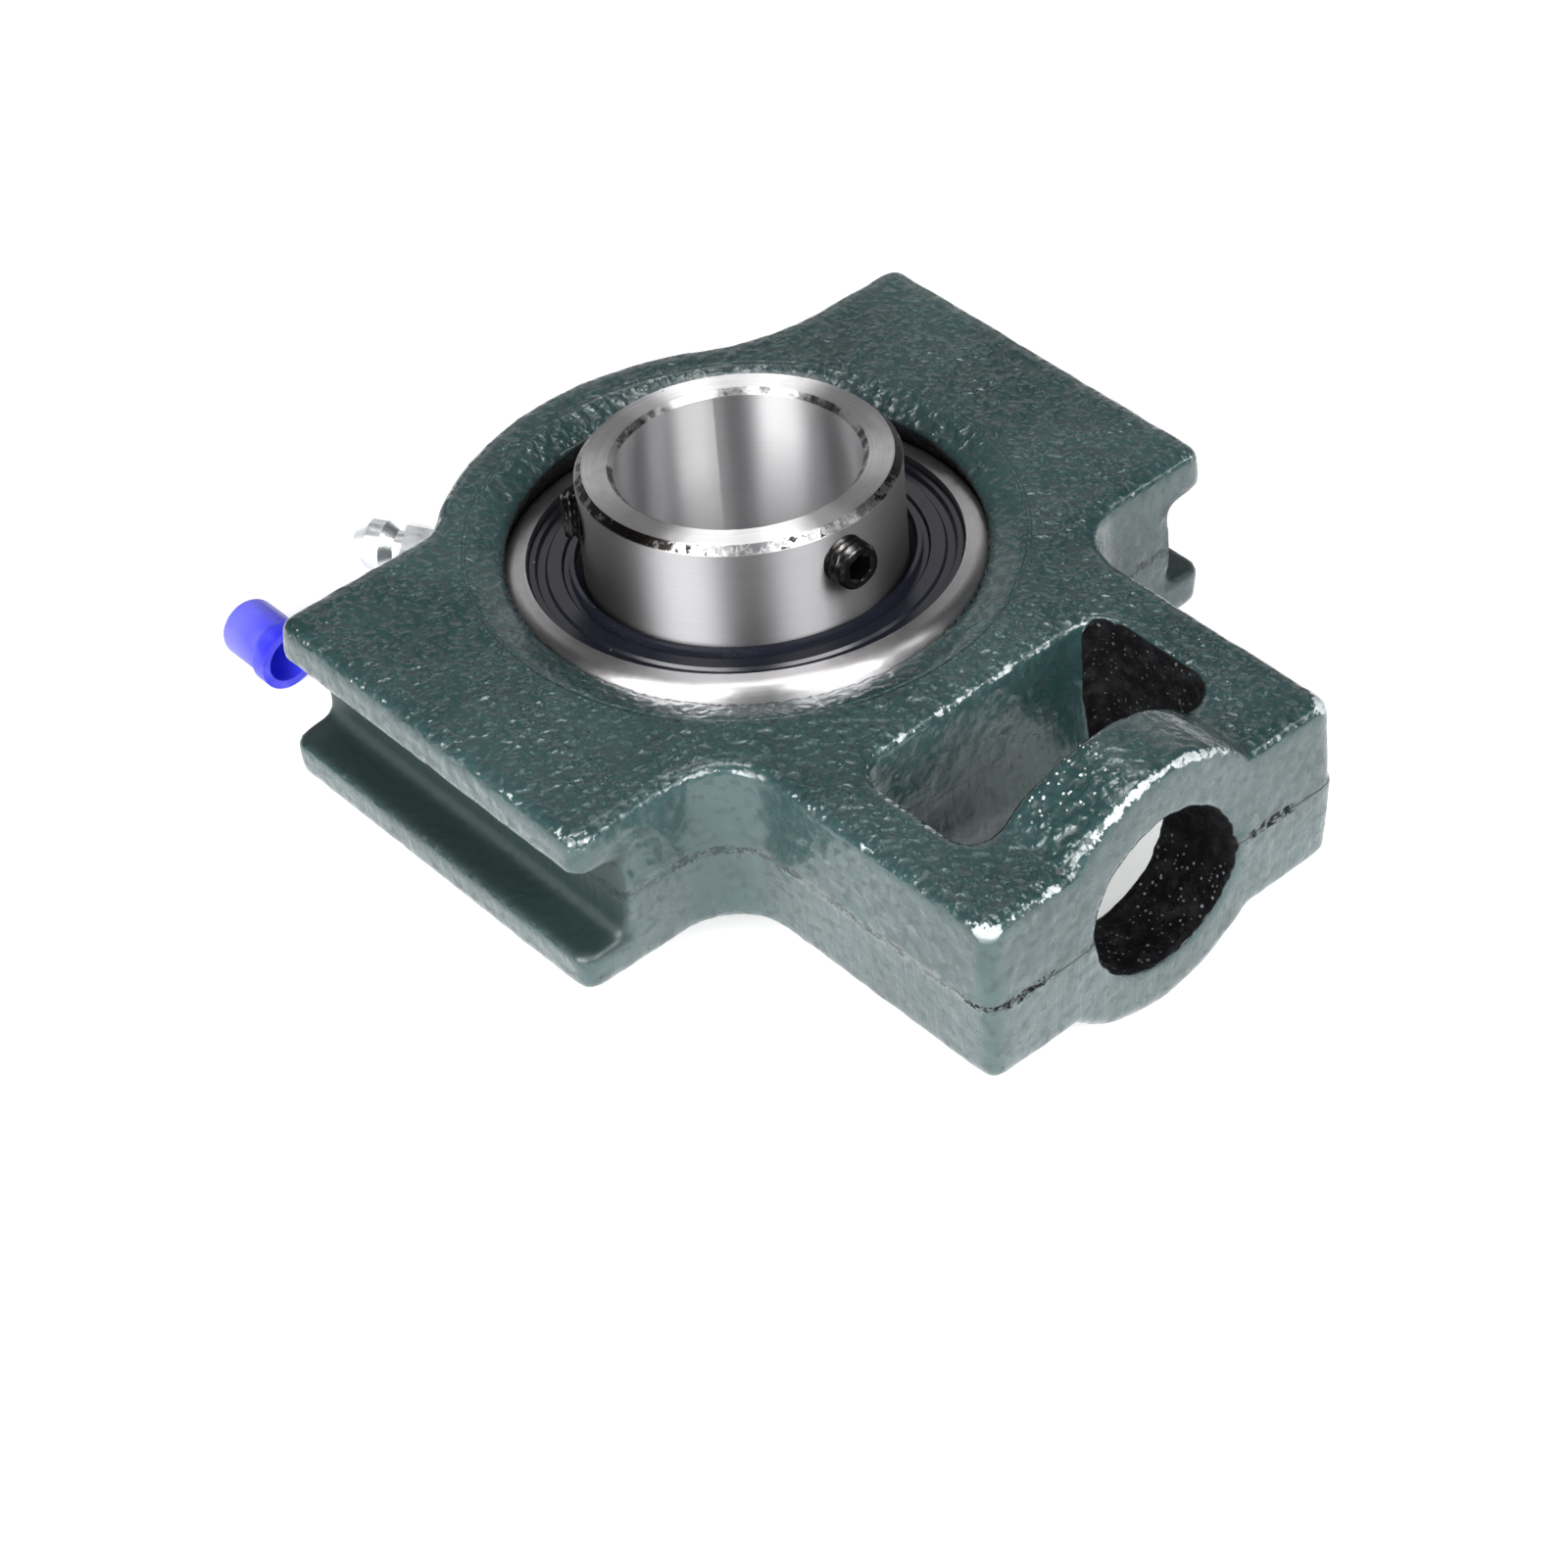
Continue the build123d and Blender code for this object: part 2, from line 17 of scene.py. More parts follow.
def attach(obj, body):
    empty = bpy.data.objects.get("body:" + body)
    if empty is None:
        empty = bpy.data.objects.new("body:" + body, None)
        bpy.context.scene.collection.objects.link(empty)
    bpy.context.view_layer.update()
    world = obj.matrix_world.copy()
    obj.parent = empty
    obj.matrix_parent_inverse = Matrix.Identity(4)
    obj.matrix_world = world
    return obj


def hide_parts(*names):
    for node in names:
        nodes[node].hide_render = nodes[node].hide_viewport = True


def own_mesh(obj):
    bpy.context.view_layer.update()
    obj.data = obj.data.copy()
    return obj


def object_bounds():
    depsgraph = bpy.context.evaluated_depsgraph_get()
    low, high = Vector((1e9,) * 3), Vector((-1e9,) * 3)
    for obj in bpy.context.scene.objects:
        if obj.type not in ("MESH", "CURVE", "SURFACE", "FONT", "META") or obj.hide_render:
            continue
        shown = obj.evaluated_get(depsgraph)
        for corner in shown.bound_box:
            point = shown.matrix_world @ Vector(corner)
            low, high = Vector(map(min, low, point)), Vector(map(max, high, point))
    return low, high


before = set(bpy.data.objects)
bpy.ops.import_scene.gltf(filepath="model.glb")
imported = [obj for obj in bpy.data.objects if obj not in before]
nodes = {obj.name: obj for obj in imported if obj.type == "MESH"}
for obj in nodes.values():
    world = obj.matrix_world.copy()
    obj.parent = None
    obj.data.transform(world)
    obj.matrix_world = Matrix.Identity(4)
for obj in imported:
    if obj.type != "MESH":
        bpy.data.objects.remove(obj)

bpy.context.scene.view_settings.view_transform = "Standard"
cad_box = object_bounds()
MM = 0.001
MM_PER_METRE = 1000.0
print("the model's box in mm:", [round(v / MM, 1) for v in (*cad_box[0], *cad_box[1])])


def put_in_scene(name, data):
    """A new object with its data, linked into the scene."""
    thing = bpy.data.objects.new(name, data)
    bpy.context.scene.collection.objects.link(thing)
    return thing


# %% [markdown]
# ## The camera
# A camera is a place, a direction and a lens. All three were found by fitting the corners of the
# housing to the photograph. Blender's camera looks along its own -Z, with its own +X to the right,
# so the picture's right, up and backward directions become the columns of its rotation.

# %% Camera
CAMERA_PLACE = Vector((0.314235, -0.25487, 0.339828))
CAMERA_RIGHT = Vector((0.667464, 0.743091, -0.048037))
CAMERA_UP = Vector((-0.478309, 0.477285, 0.73717))
CAMERA_LENS = 98.9003
CAMERA_SENSOR = 36.0
NEAREST_SEEN = 0.02
FARTHEST_SEEN = 50.0

camera_data = bpy.data.cameras.new("photo_camera")
camera_data.sensor_width = CAMERA_SENSOR
camera_data.lens = CAMERA_LENS
camera_data.clip_start = NEAREST_SEEN
camera_data.clip_end = FARTHEST_SEEN
camera = put_in_scene("photo_camera", camera_data)
camera_turn = Matrix((CAMERA_RIGHT, CAMERA_UP, CAMERA_RIGHT.cross(CAMERA_UP))).transposed()
camera.matrix_world = Matrix.Translation(CAMERA_PLACE) @ camera_turn.to_4x4()
bpy.context.scene.camera = camera
print("camera distance in mm:", round(CAMERA_PLACE.length / MM))

# %% [markdown]
# ## A bench for shader nodes
# The sky, the floor and every finish are trees of shader nodes. Adding and joining them one by one
# takes many lines, so a small class does it: put() adds a node, and anything that is an output gets
# linked, while anything else is written into the socket. Below, b is the bench of the finish in
# work, and g that of a group.

# %% Node bench
class Bench:
    """Adds nodes to one tree and joins them."""

    def __init__(self, tree):
        self.nodes, self.links = tree.nodes, tree.links

    def feed(self, socket, value):
        """Links an output to a socket, or writes a plain value into it."""
        if isinstance(value, bpy.types.NodeSocket):
            self.links.new(value, socket)
        else:
            socket.default_value = value

    def put(self, kind, *values, **settings):
        """Adds a node, sets its settings and feeds its first sockets in order."""
        node = self.nodes.new("ShaderNode" + kind)
        for key, setting in settings.items():
            setattr(node, key, setting)
        for socket, value in zip(node.inputs, values):
            self.feed(socket, value)
        return node

    def chain(self, operation, *values):
        """The values joined from the left by Math nodes of one kind."""
        result = values[0]
        for value in values[1:]:
            result = self.put("Math", result, value, operation=operation).outputs[0]
        return result

    def plus(self, *values):
        """The sum of the values."""
        return self.chain("ADD", *values)

    def minus(self, first, second):
        """The first value less the second."""
        return self.chain("SUBTRACT", first, second)

    def times(self, *values):
        """The product of the values."""
        return self.chain("MULTIPLY", *values)

    def over(self, first, second):
        """The first value divided by the second."""
        return self.chain("DIVIDE", first, second)

    def most(self, *values):
        """The largest of the values."""
        return self.chain("MAXIMUM", *values)

    def size_of(self, value):
        """The value without its sign."""
        return self.put("Math", value, operation="ABSOLUTE").outputs[0]

    def measured(self, operation, *vectors):
        """A number taken from vectors, such as a length."""
        return self.put("VectorMath", *vectors, operation=operation).outputs["Value"]

    def combined(self, operation, *vectors):
        """A vector made from vectors, such as their difference."""
        return self.put("VectorMath", *vectors, operation=operation).outputs[0]

    def scaled(self, vector, factor):
        """A vector times a number."""
        node = self.put("VectorMath", vector, operation="SCALE")
        self.feed(node.inputs["Scale"], factor)
        return node.outputs[0]

    def parts(self, vector):
        """The three parts of a vector."""
        return self.put("SeparateXYZ", vector).outputs

    def step(self, value, start, end, low=0.0, high=1.0):
        """A smooth step from low at start to high at end."""
        settings = {"interpolation_type": "SMOOTHSTEP"}
        return self.put("MapRange", value, start, end, low, high, **settings).outputs["Result"]

    def noise(self, place, scale, detail=2.0, roughness=0.5, distortion=0.0):
        """A noise value from 0 to 1."""
        node = self.put("TexNoise")
        values = {"Vector": place, "Scale": scale, "Detail": detail}
        values |= {"Roughness": roughness, "Distortion": distortion}
        for label, value in values.items():
            self.feed(node.inputs[label], value)
        return node.outputs["Fac"]

    def mix(self, kind, first_socket, share, first, second):
        """A Mix node of one kind, whose two values start at a socket number."""
        node = self.put("Mix", share, data_type=kind)
        self.feed(node.inputs[first_socket], first)
        self.feed(node.inputs[first_socket + 1], second)
        return node

    def blend(self, share, first, second):
        """A colour between two colours."""
        return self.mix("RGBA", 6, share, first, second).outputs[2]

    def between(self, share, first, second):
        """A value between two values."""
        return self.mix("FLOAT", 2, share, first, second).outputs[0]

    def zone(self, name):
        """A number stored at the mesh's points."""
        return self.put("Attribute", attribute_name=name).outputs["Fac"]

    def relief(self, height, distance):
        """A normal that tilts with a height, whose full range is a distance in metres."""
        node = self.put("Bump")
        node.inputs["Strength"].default_value = 1.0
        node.inputs["Distance"].default_value = distance
        self.feed(node.inputs["Height"], height)
        return node.outputs["Normal"]


# %% [markdown]
# ## The studio
# Shiny steel shows the room more than itself, so the room matters. Two large softboxes stand left
# and right of the camera and give the collar its two bright bands. A strip near each of them and a
# box overhead are seen in reflections only, because the steel needs more light than the paint can
# take. A wide softbox behind the object lights the collar's flat face, a narrow one stands far to
# the right, and a small lamp high at the back picks out the pebbles of the paint, because a glint
# is only as sharp as the lamp is small. A low fill from the front lifts the side walls of the
# casting. It is kept out of reflections, because steel with nothing dark to reflect looks like
# white paint.

# %% Lamps
LAMP_DISTANCE = 1.2
CAMERA_HEADING = math.degrees(math.atan2(CAMERA_PLACE.y, CAMERA_PLACE.x))


def softbox(name, aside, elevation, width, height, power, in_reflections=True, on_paint=True):
    """A rectangular lamp that faces the object. Its angle aside from the camera and its elevation
    are in degrees, its sides in metres and its power in watts."""
    lamp = bpy.data.lights.new(name, "AREA")
    lamp.shape = "RECTANGLE"
    lamp.size = width
    lamp.size_y = height
    lamp.energy = power
    box = put_in_scene(name, lamp)
    heading, rise = math.radians(CAMERA_HEADING + aside), math.radians(elevation)
    across = math.cos(rise)
    away = Vector((math.cos(heading) * across, math.sin(heading) * across, math.sin(rise)))
    box.location = away * LAMP_DISTANCE
    box.rotation_mode = "QUATERNION"
    box.rotation_quaternion = away.to_track_quat("Z", "Y")
    box.visible_glossy = in_reflections
    box.visible_diffuse = on_paint


softbox("left_softbox", -43, 33, 0.95, 0.8, 15.0)
softbox("right_softbox", 40, 40, 0.68, 0.7, 10.5)
softbox("left_strip", -40, 36, 0.7, 0.8, 12.0, on_paint=False)
softbox("right_strip", 40, 42, 0.62, 0.7, 7.0, on_paint=False)
softbox("far_right_softbox", 86, 40, 0.2, 0.3, 1.2)
softbox("far_softbox", 180, 24, 1.0, 0.3, 0.9)
softbox("top_softbox", 180, 78, 0.42, 0.28, 3.6, on_paint=False)
softbox("sparkle_lamp", 176, 56, 0.16, 0.12, 0.35)
softbox("front_fill", 0, 12, 1.2, 0.5, 12.5, in_reflections=False)
print("lamps:", [lamp.name for lamp in bpy.data.lights])

# %% [markdown]
# The sky is a dim white, and a little paler near the horizon, where the steel's steep sides look.
# The height of a direction is the Z of the Generated coordinates of the world.

# %% Sky
SKY_DIM = 0.06
SKY_PALE = 0.3
PALE_BELOW = 0.05
DIM_ABOVE = 0.4
WHITE = (1, 1, 1, 1)

world = bpy.data.worlds.new("studio_sky")
bpy.context.scene.world = world
world.use_nodes = True
b = Bench(world.node_tree)
sky = b.nodes["Background"].inputs
sky["Color"].default_value = WHITE
sky_height = b.parts(b.put("TexCoord").outputs["Generated"])["Z"]
b.feed(sky["Strength"], b.step(sky_height, PALE_BELOW, DIM_ABOVE, SKY_PALE, SKY_DIM))
print("sky strength:", SKY_PALE, "to", SKY_DIM)

# %% [markdown]
# ## The floor
# The photograph stands on plain white, with a faint shadow. The floor is a large disc at the lowest
# point of the screw boss. It is white by its own colour, and the camera and the reflections see it
# a little brighter than lit, so that it closes with the background. That glow stops under the
# bearing, where no light falls, or the bore would be lit from below.

# %% Floor
FLOOR_HEIGHT = -18.3 * MM
FLOOR_RADIUS = 12.0
FLOOR_SIDES = 96
FLOOR_WHITE = (0.86, 0.86, 0.865, 1)
FLOOR_GLOW = 0.5
GLOW_START = 26 * MM
GLOW_FULL = 40 * MM


def disc_mesh(name, radius, height):
    """A round flat mesh at a height."""
    mesh = bpy.data.meshes.new(name)
    made = bmesh.new()
    bmesh.ops.create_circle(made, cap_ends=True, radius=radius, segments=FLOOR_SIDES)
    bmesh.ops.translate(made, verts=made.verts, vec=(0, 0, height))
    made.to_mesh(mesh)
    made.free()
    return mesh


floor = put_in_scene("floor", disc_mesh("floor", FLOOR_RADIUS, FLOOR_HEIGHT))
print("floor height in mm:", round(FLOOR_HEIGHT / MM, 1))

# %% Floor paper
floor_finish = bpy.data.materials.new("white_floor")
floor_finish.use_nodes = True
b = Bench(floor_finish.node_tree)
b.nodes.clear()
from_middle = b.measured("LENGTH", b.put("TexCoord").outputs["Object"])
glow_here = b.step(from_middle, GLOW_START, GLOW_FULL, 0.0, FLOOR_GLOW)
glow = b.put("Emission", WHITE, glow_here).outputs[0]
dark = b.put("Emission", WHITE, 0.0).outputs[0]
ray = b.put("LightPath").outputs
is_seen = b.most(ray["Is Camera Ray"], ray["Is Glossy Ray"], ray["Is Transmission Ray"])
glow_if_seen = b.put("MixShader", is_seen, dark, glow).outputs[0]
paper = b.put("BsdfDiffuse", FLOOR_WHITE).outputs[0]
b.put("OutputMaterial", b.put("AddShader", paper, glow_if_seen).outputs[0])
floor.data.materials.append(floor_finish)
print(floor_finish.name, "on the floor")

# %% [markdown]
# ## The casting
# The housing is sand cast. Its edges are worn round by the shot blast, its walls wander a little,
# the lower half of the mould had slipped sideways under the screw block, and its core sat a little
# to one side of the slot. A CAD solid has none of that.
# Sculpting by hand would do, but it can't be repeated. So the solid's mesh is turned into even
# little quads with the voxel remesher, then relaxed like a rubber sheet, which rounds every sharp
# rim, and then pushed about with noise. The machined seat is laid back onto its sphere at the end.

# %% Even grain
CASTING_GRAIN = 0.64 * MM


def remeshed_copy(node_name, name, grain):
    """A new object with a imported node's shape in small even quads."""
    piece = put_in_scene(name, nodes[node_name].data.copy())
    grains = piece.modifiers.new("grains", "REMESH")
    grains.mode = "VOXEL"
    grains.voxel_size = grain
    view = bpy.context.evaluated_depsgraph_get()
    mesh = bpy.data.meshes.new_from_object(piece.evaluated_get(view))
    piece.modifiers.clear()
    piece.data = mesh
    mesh.materials.clear()
    mesh.polygons.foreach_set("use_smooth", [True] * len(mesh.polygons))
    return piece


casting = remeshed_copy("housing", "housing_casting", CASTING_GRAIN)
print("casting grains:", len(casting.data.polygons))

# %% [markdown]
# Python loops over a hundred thousand points are slow, so the points are handled as NumPy arrays:
# read out of the mesh in one go, changed as a whole, and written back.

# %% Points and neighbours
def points_of(mesh):
    """The mesh's points as rows of x, y, z in metres."""
    flat = np.empty(len(mesh.vertices) * 3)
    mesh.vertices.foreach_get("co", flat)
    return flat.reshape(-1, 3)


def normals_of(mesh):
    """The mesh's outward directions at its points."""
    flat = np.empty(len(mesh.vertices) * 3)
    mesh.vertex_normals.foreach_get("vector", flat)
    return flat.reshape(-1, 3)


def edges_of(mesh):
    """The two point numbers of every edge."""
    flat = np.empty(len(mesh.edges) * 2, dtype=np.int64)
    mesh.edges.foreach_get("vertices", flat)
    return flat.reshape(-1, 2)


def put_points(mesh, points):
    """Writes points back into the mesh."""
    mesh.vertices.foreach_set("co", points.ravel())
    mesh.update()


def neighbour_mean(points, edges):
    """Each point's mean over the points that share an edge with it."""
    count = np.bincount(edges.ravel(), minlength=len(points))
    total = np.zeros_like(points)
    for axis in range(points.shape[1]):
        total[:, axis] = np.bincount(edges[:, 0], points[edges[:, 1], axis], len(points))
        total[:, axis] += np.bincount(edges[:, 1], points[edges[:, 0], axis], len(points))
    return total / count[:, None]


def relaxed(points, edges, rounds):
    """The points after some rounds of moving halfway to their neighbours' mean."""
    for _ in range(rounds):
        points = 0.5 * points + 0.5 * neighbour_mean(points, edges)
    return points


# %% Steps, patches and lumps
def fade_in(value, start, end):
    """0 before start, 1 after end, and a smooth step between them."""
    share = np.clip((value - start) / (end - start), 0, 1)
    return share * share * (3 - 2 * share)


def patch(value, middle, spread):
    """1 at the middle, and falling off softly on both sides of it."""
    return np.exp(-(((value - middle) / spread) ** 2))


def lumps(points, size, seed):
    """Smooth noise from about -1 to 1 at each point, with bumps of a size in metres."""
    shift = Vector((seed * 7.31, seed * 3.17, seed * 5.77))
    return np.array([noise.noise(Vector(p) / size + shift) for p in points])


# %% [markdown]
# Where the casting bulges out, a point stands away from the mean of its surroundings. The share of
# that bulge, 1 at a common edge, tells later where the paint wears off and where the edges' glint
# is painted as a highlight.

# %% Slipped mould and rounded rims
MOULD_SLIP = 0.45 * MM
SLIP_START = 27 * MM
SLIP_FULL = 33 * MM
SEAT_RADIUS = 31.05 * MM
SEAT_HALF_HEIGHT = 10.4 * MM
SEAT_TOLERANCE = 0.3 * MM
RIM_ROUNDS = 3
BULGE_ROUNDS = 14
EDGE_BULGE = 0.22 * MM

shape = casting.data
edges = edges_of(shape)
cast_points = points_of(shape)
below_parting = cast_points[:, 2] < 0
slip = MOULD_SLIP * fade_in(cast_points[:, 0], SLIP_START, SLIP_FULL) * below_parting
cast_points[:, 1] += slip
reach = np.linalg.norm(cast_points, axis=1)
on_seat = np.abs(reach - SEAT_RADIUS) < SEAT_TOLERANCE
on_seat &= np.abs(cast_points[:, 2]) < SEAT_HALF_HEIGHT
soft_points = relaxed(cast_points, edges, RIM_ROUNDS)
put_points(shape, soft_points)
outward = normals_of(shape)
bulge = ((soft_points - relaxed(soft_points, edges, BULGE_ROUNDS)) * outward).sum(axis=1)
bulge /= EDGE_BULGE
print("points on the machined seat:", int(on_seat.sum()))
print("bulge, high shares:", np.percentile(bulge, (80, 90, 95, 99, 99.9)).round(2))

# %% [markdown]
# The cored hole, the slot and the guide grooves need another skin than the rest. Each is picked out
# by its place and by the way its faces look, which the outward direction tells: nx near 1 or -1 is
# a face square to the take-up screw.

# %% Hole, slot and grooves
HOLE_START = 59.5 * MM
HOLE_REACH = 11.8 * MM
SLOT_START = 40.2 * MM
SLOT_MIDDLE = 55 * MM
SLOT_END = 60.6 * MM
SLOT_HALF = 19.8 * MM
SLOT_CORNER = 15 * MM
GROOVE_FLOOR = 43.8 * MM
GROOVE_HALF = 7.0 * MM
RAIL_HALF = 28.6 * MM
END_FACE = 0.75
LEVEL_FACE = 0.8
TURNED = 0.35

x, y, z = soft_points.T
nx, ny, nz = outward.T
from_hole_axis = np.hypot(y, z)
in_hole = (x > HOLE_START) & (from_hole_axis < HOLE_REACH) & (np.abs(nx) < END_FACE)
in_slot = (x > SLOT_START) & (x < SLOT_END) & (np.abs(y) < SLOT_HALF) & (np.abs(nz) < LEVEL_FACE)
slot_back = in_slot & (nx < -TURNED) & (x > SLOT_MIDDLE) & ~in_hole
slot_ends = in_slot & (np.abs(ny) > TURNED) & (y > SLOT_CORNER)
in_groove = (np.abs(y) > GROOVE_FLOOR) & (np.abs(z) < GROOVE_HALF) & (np.abs(x) < RAIL_HALF)


def soft_zone(mask, rounds):
    """A mask as numbers from 0 to 1, softened at its rim."""
    return relaxed(mask.astype(float)[:, None], edges, rounds)[:, 0]


raw_core = soft_zone(in_hole | slot_back | slot_ends, 2)
found = [int(mask.sum()) for mask in (in_hole, in_slot, in_groove)]
print("points in the hole, slot and grooves:", found)

# %% Walls that wander
WALL_LUMPS = 0.05 * MM
EDGE_LUMPS = 0.10 * MM
CORE_LUMPS = 0.14 * MM

wander = WALL_LUMPS * lumps(soft_points, 7 * MM, 1)
wander += EDGE_LUMPS * np.clip(bulge, 0, 1) * lumps(soft_points, 2.6 * MM, 2)
wander += CORE_LUMPS * raw_core * lumps(soft_points, 2.2 * MM, 3)
wander *= 1 - 0.8 * in_groove
rough_points = soft_points + outward * wander[:, None]
print("walls wander by up to mm:", round(float(np.abs(wander).max() / MM), 2))

# %% [markdown]
# The core leaned, so the lower half of the slot's wall stands further in than the upper half, and
# the rim of the slot is pulled in a little beside the boss.

# %% Core off its place
WALL_PLACE = 40.6 * MM
WALL_HALF = (1.8 * MM, 18.5 * MM)
WALL_TOP = 0.5 * MM
WALL_SHIFT = 1.1 * MM
WALL_SHIFT_FULL = 9 * MM
WALL_DROP = 0.8 * MM
WALL_DROP_DEPTH = (9.5 * MM, 11.5 * MM)
RIM_SHIFT = 1.0 * MM
RIM_MIDDLE = -13 * MM
RIM_SPREAD = 5 * MM
RIM_LEVEL = (6 * MM, 10 * MM)
RIM_NEAR = (56.5 * MM, 59 * MM)
RIM_FAR = (65 * MM, 61 * MM)

low_wall = (np.abs(x - WALL_PLACE) < WALL_HALF[0]) & (np.abs(y) < WALL_HALF[1]) & (z < WALL_TOP)
rough_points[:, 0] += WALL_SHIFT * fade_in(-z, 0, WALL_SHIFT_FULL) * low_wall
rough_points[:, 2] -= WALL_DROP * fade_in(-z, *WALL_DROP_DEPTH) * low_wall * (nx > 0.1)
low_rim = patch(y, RIM_MIDDLE, RIM_SPREAD) * fade_in(z, *RIM_LEVEL)
low_rim *= fade_in(x, *RIM_NEAR) * fade_in(x, *RIM_FAR)
rough_points[:, 0] -= RIM_SHIFT * low_rim
print("points of the lower wall:", int(low_wall.sum()))

# %% Seat back on its sphere
SEAT_ZONE_HALF = 12 * MM

on_sphere = cast_points * (SEAT_RADIUS / reach)[:, None]
rough_points[on_seat] = on_sphere[on_seat]
rough_reach = np.linalg.norm(rough_points, axis=1)
too_deep = (rough_reach < SEAT_RADIUS) & (np.abs(rough_points[:, 2]) < SEAT_ZONE_HALF)
rough_points[too_deep] *= (SEAT_RADIUS / rough_reach[too_deep])[:, None]
rough_points = np.clip(rough_points, np.array(cad_box[0]), np.array(cad_box[1]))
put_points(shape, rough_points)
print("points moved out of the seat:", int(too_deep.sum()))

# %% [markdown]
# The paint needs to know where it is: on a worn edge with its painted highlight, in the bare cored
# hole, in the guide groove or on the machined seat. Those are numbers at the points, so they are
# stored as attributes, which the material reads by name.

# %% Zones of the paint
SEAT_RIM = 35.5 * MM
SCREW_END = 66 * MM
SCREW_FACE = 68 * MM
RAILS = 40 * MM
HOLE_RIM = 13 * MM
MOST_WEAR_GLINT = 1.5
MOST_RAIL_WEAR_GLINT = 1.2
SCREW_END_WEAR_GLINT = 0.12
WALL_PITS = 0.45
DUST_PLACE = (62 * MM, -7 * MM)
DUST_SPREAD = 6 * MM
DUST_LEVEL = 12 * MM
SLOT_DUST = 0.37
HOLE_DUST = 0.42


def store_zone(name, values):
    """Stores one number at each point of the casting under a name that the material reads."""
    zone = shape.attributes.new(name, "FLOAT", "POINT")
    zone.data.foreach_set("value", np.asarray(values, dtype=np.float32))
    print("zone", name, "covers about", round(float(np.sum(values))), "points")


dust = patch(x, DUST_PLACE[0], DUST_SPREAD) * patch(y, DUST_PLACE[1], DUST_SPREAD)
dust *= z > DUST_LEVEL
dust += SLOT_DUST * (slot_ends & (y > 0)) + HOLE_DUST * (in_hole & (z < -3 * MM))
on_rails = np.abs(y) > RAILS
# The pale edge patches are worn paint and also a painted highlight of the edges' glint.
wear_and_glint = np.clip(bulge, 0, np.where(on_rails, MOST_RAIL_WEAR_GLINT, MOST_WEAR_GLINT))
wear_and_glint += SCREW_END_WEAR_GLINT * (x > SCREW_END) * (z > 6 * MM)
wear_and_glint *= 1 - 0.7 * on_rails * (z < 0)
wear_and_glint *= (np.hypot(x, y) > SEAT_RIM) * (1 - 0.6 * raw_core)
wear_and_glint *= ~((x > SCREW_FACE) & (from_hole_axis < HOLE_RIM))
store_zone("edge_wear_and_glint", wear_and_glint)
store_zone("seam_pits", np.where(in_slot, 0.0, np.where(x > SCREW_END, 1.0, WALL_PITS)))
store_zone("raw_core", raw_core)
store_zone("guide_groove", soft_zone(in_groove, 1))
store_zone("machined_seat", soft_zone(on_seat, 1))
store_zone("paint_dust", dust)
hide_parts("housing")
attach(casting, "housing")

# %% [markdown]
# ## Finishes and shared effects
# A finish is a material with one Principled shader, which stands for almost any surface by its
# colour, roughness and metal. An effect that several finishes share is a node group with named
# inputs, so that it is built once and each finish gives it its own sizes.

# %% New finishes and groups
def new_finish(name, metallic=0.0, ior=1.5):
    """A material with its bench, its Principled shader and the object's own coordinates."""
    finish = bpy.data.materials.new(name)
    finish.use_nodes = True
    bench = Bench(finish.node_tree)
    shader = finish.node_tree.nodes["Principled BSDF"]
    shader.inputs["Metallic"].default_value = metallic
    shader.inputs["IOR"].default_value = ior
    place = bench.put("TexCoord").outputs["Object"]
    return finish, bench, shader, place


def new_group(name, inputs, outputs):
    """An empty group with its place input, number inputs and outputs, its bench and both ends."""
    group = bpy.data.node_groups.new(name, "ShaderNodeTree")
    group.interface.new_socket("Place", in_out="INPUT", socket_type="NodeSocketVector")
    for label, value in inputs.items():
        socket = group.interface.new_socket(label, in_out="INPUT", socket_type="NodeSocketFloat")
        socket.default_value = value
    for label in outputs:
        group.interface.new_socket(label, in_out="OUTPUT", socket_type="NodeSocketFloat")
    start = group.nodes.new("NodeGroupInput")
    end = group.nodes.new("NodeGroupOutput")
    return group, Bench(group), start.outputs, end.inputs


def use_group(bench, group, place, **values):
    """Places a group in a material and feeds its named inputs."""
    node = bench.nodes.new("ShaderNodeGroup")
    node.node_tree = group
    bench.feed(node.inputs["Place"], place)
    for label, value in values.items():
        bench.feed(node.inputs[label.replace("_", " ").capitalize()], value)
    return node.outputs


# %% [markdown]
# Cast iron under paint looks like orange peel: soft pebbles about a millimetre wide with a finer
# grain on them. Some patches are calmer than others.

# %% Orange peel
orange_peel, g, given, taken = new_group("orange_peel", {"Pebble size": 1.2}, ("Height", "Hollow"))
per_metre = g.over(MM_PER_METRE, given["Pebble size"])
pebbles = g.noise(given["Place"], per_metre, detail=0.7, distortion=0.15)
fine = g.noise(given["Place"], g.times(per_metre, 2.3), detail=1.0)
patches = g.step(g.noise(given["Place"], g.times(per_metre, 0.12)), 0.35, 0.65, 0.55, 1.0)
raised = g.plus(g.times(pebbles, 0.88), g.times(fine, 0.12))
g.feed(taken["Height"], g.times(raised, patches))
g.feed(taken["Hollow"], g.step(raised, 0.48, 0.34))

# %% [markdown]
# Paint wears off at the edges in broken patches, and the same patches carry a painted highlight of
# the edges' glint. Two noises, one for single flakes and one for longer stretches, are added to the
# edge's own number, and what passes a threshold is worn or glinting.

# %% Broken edges
WEAR_GLINT_SOFTNESS = 0.06

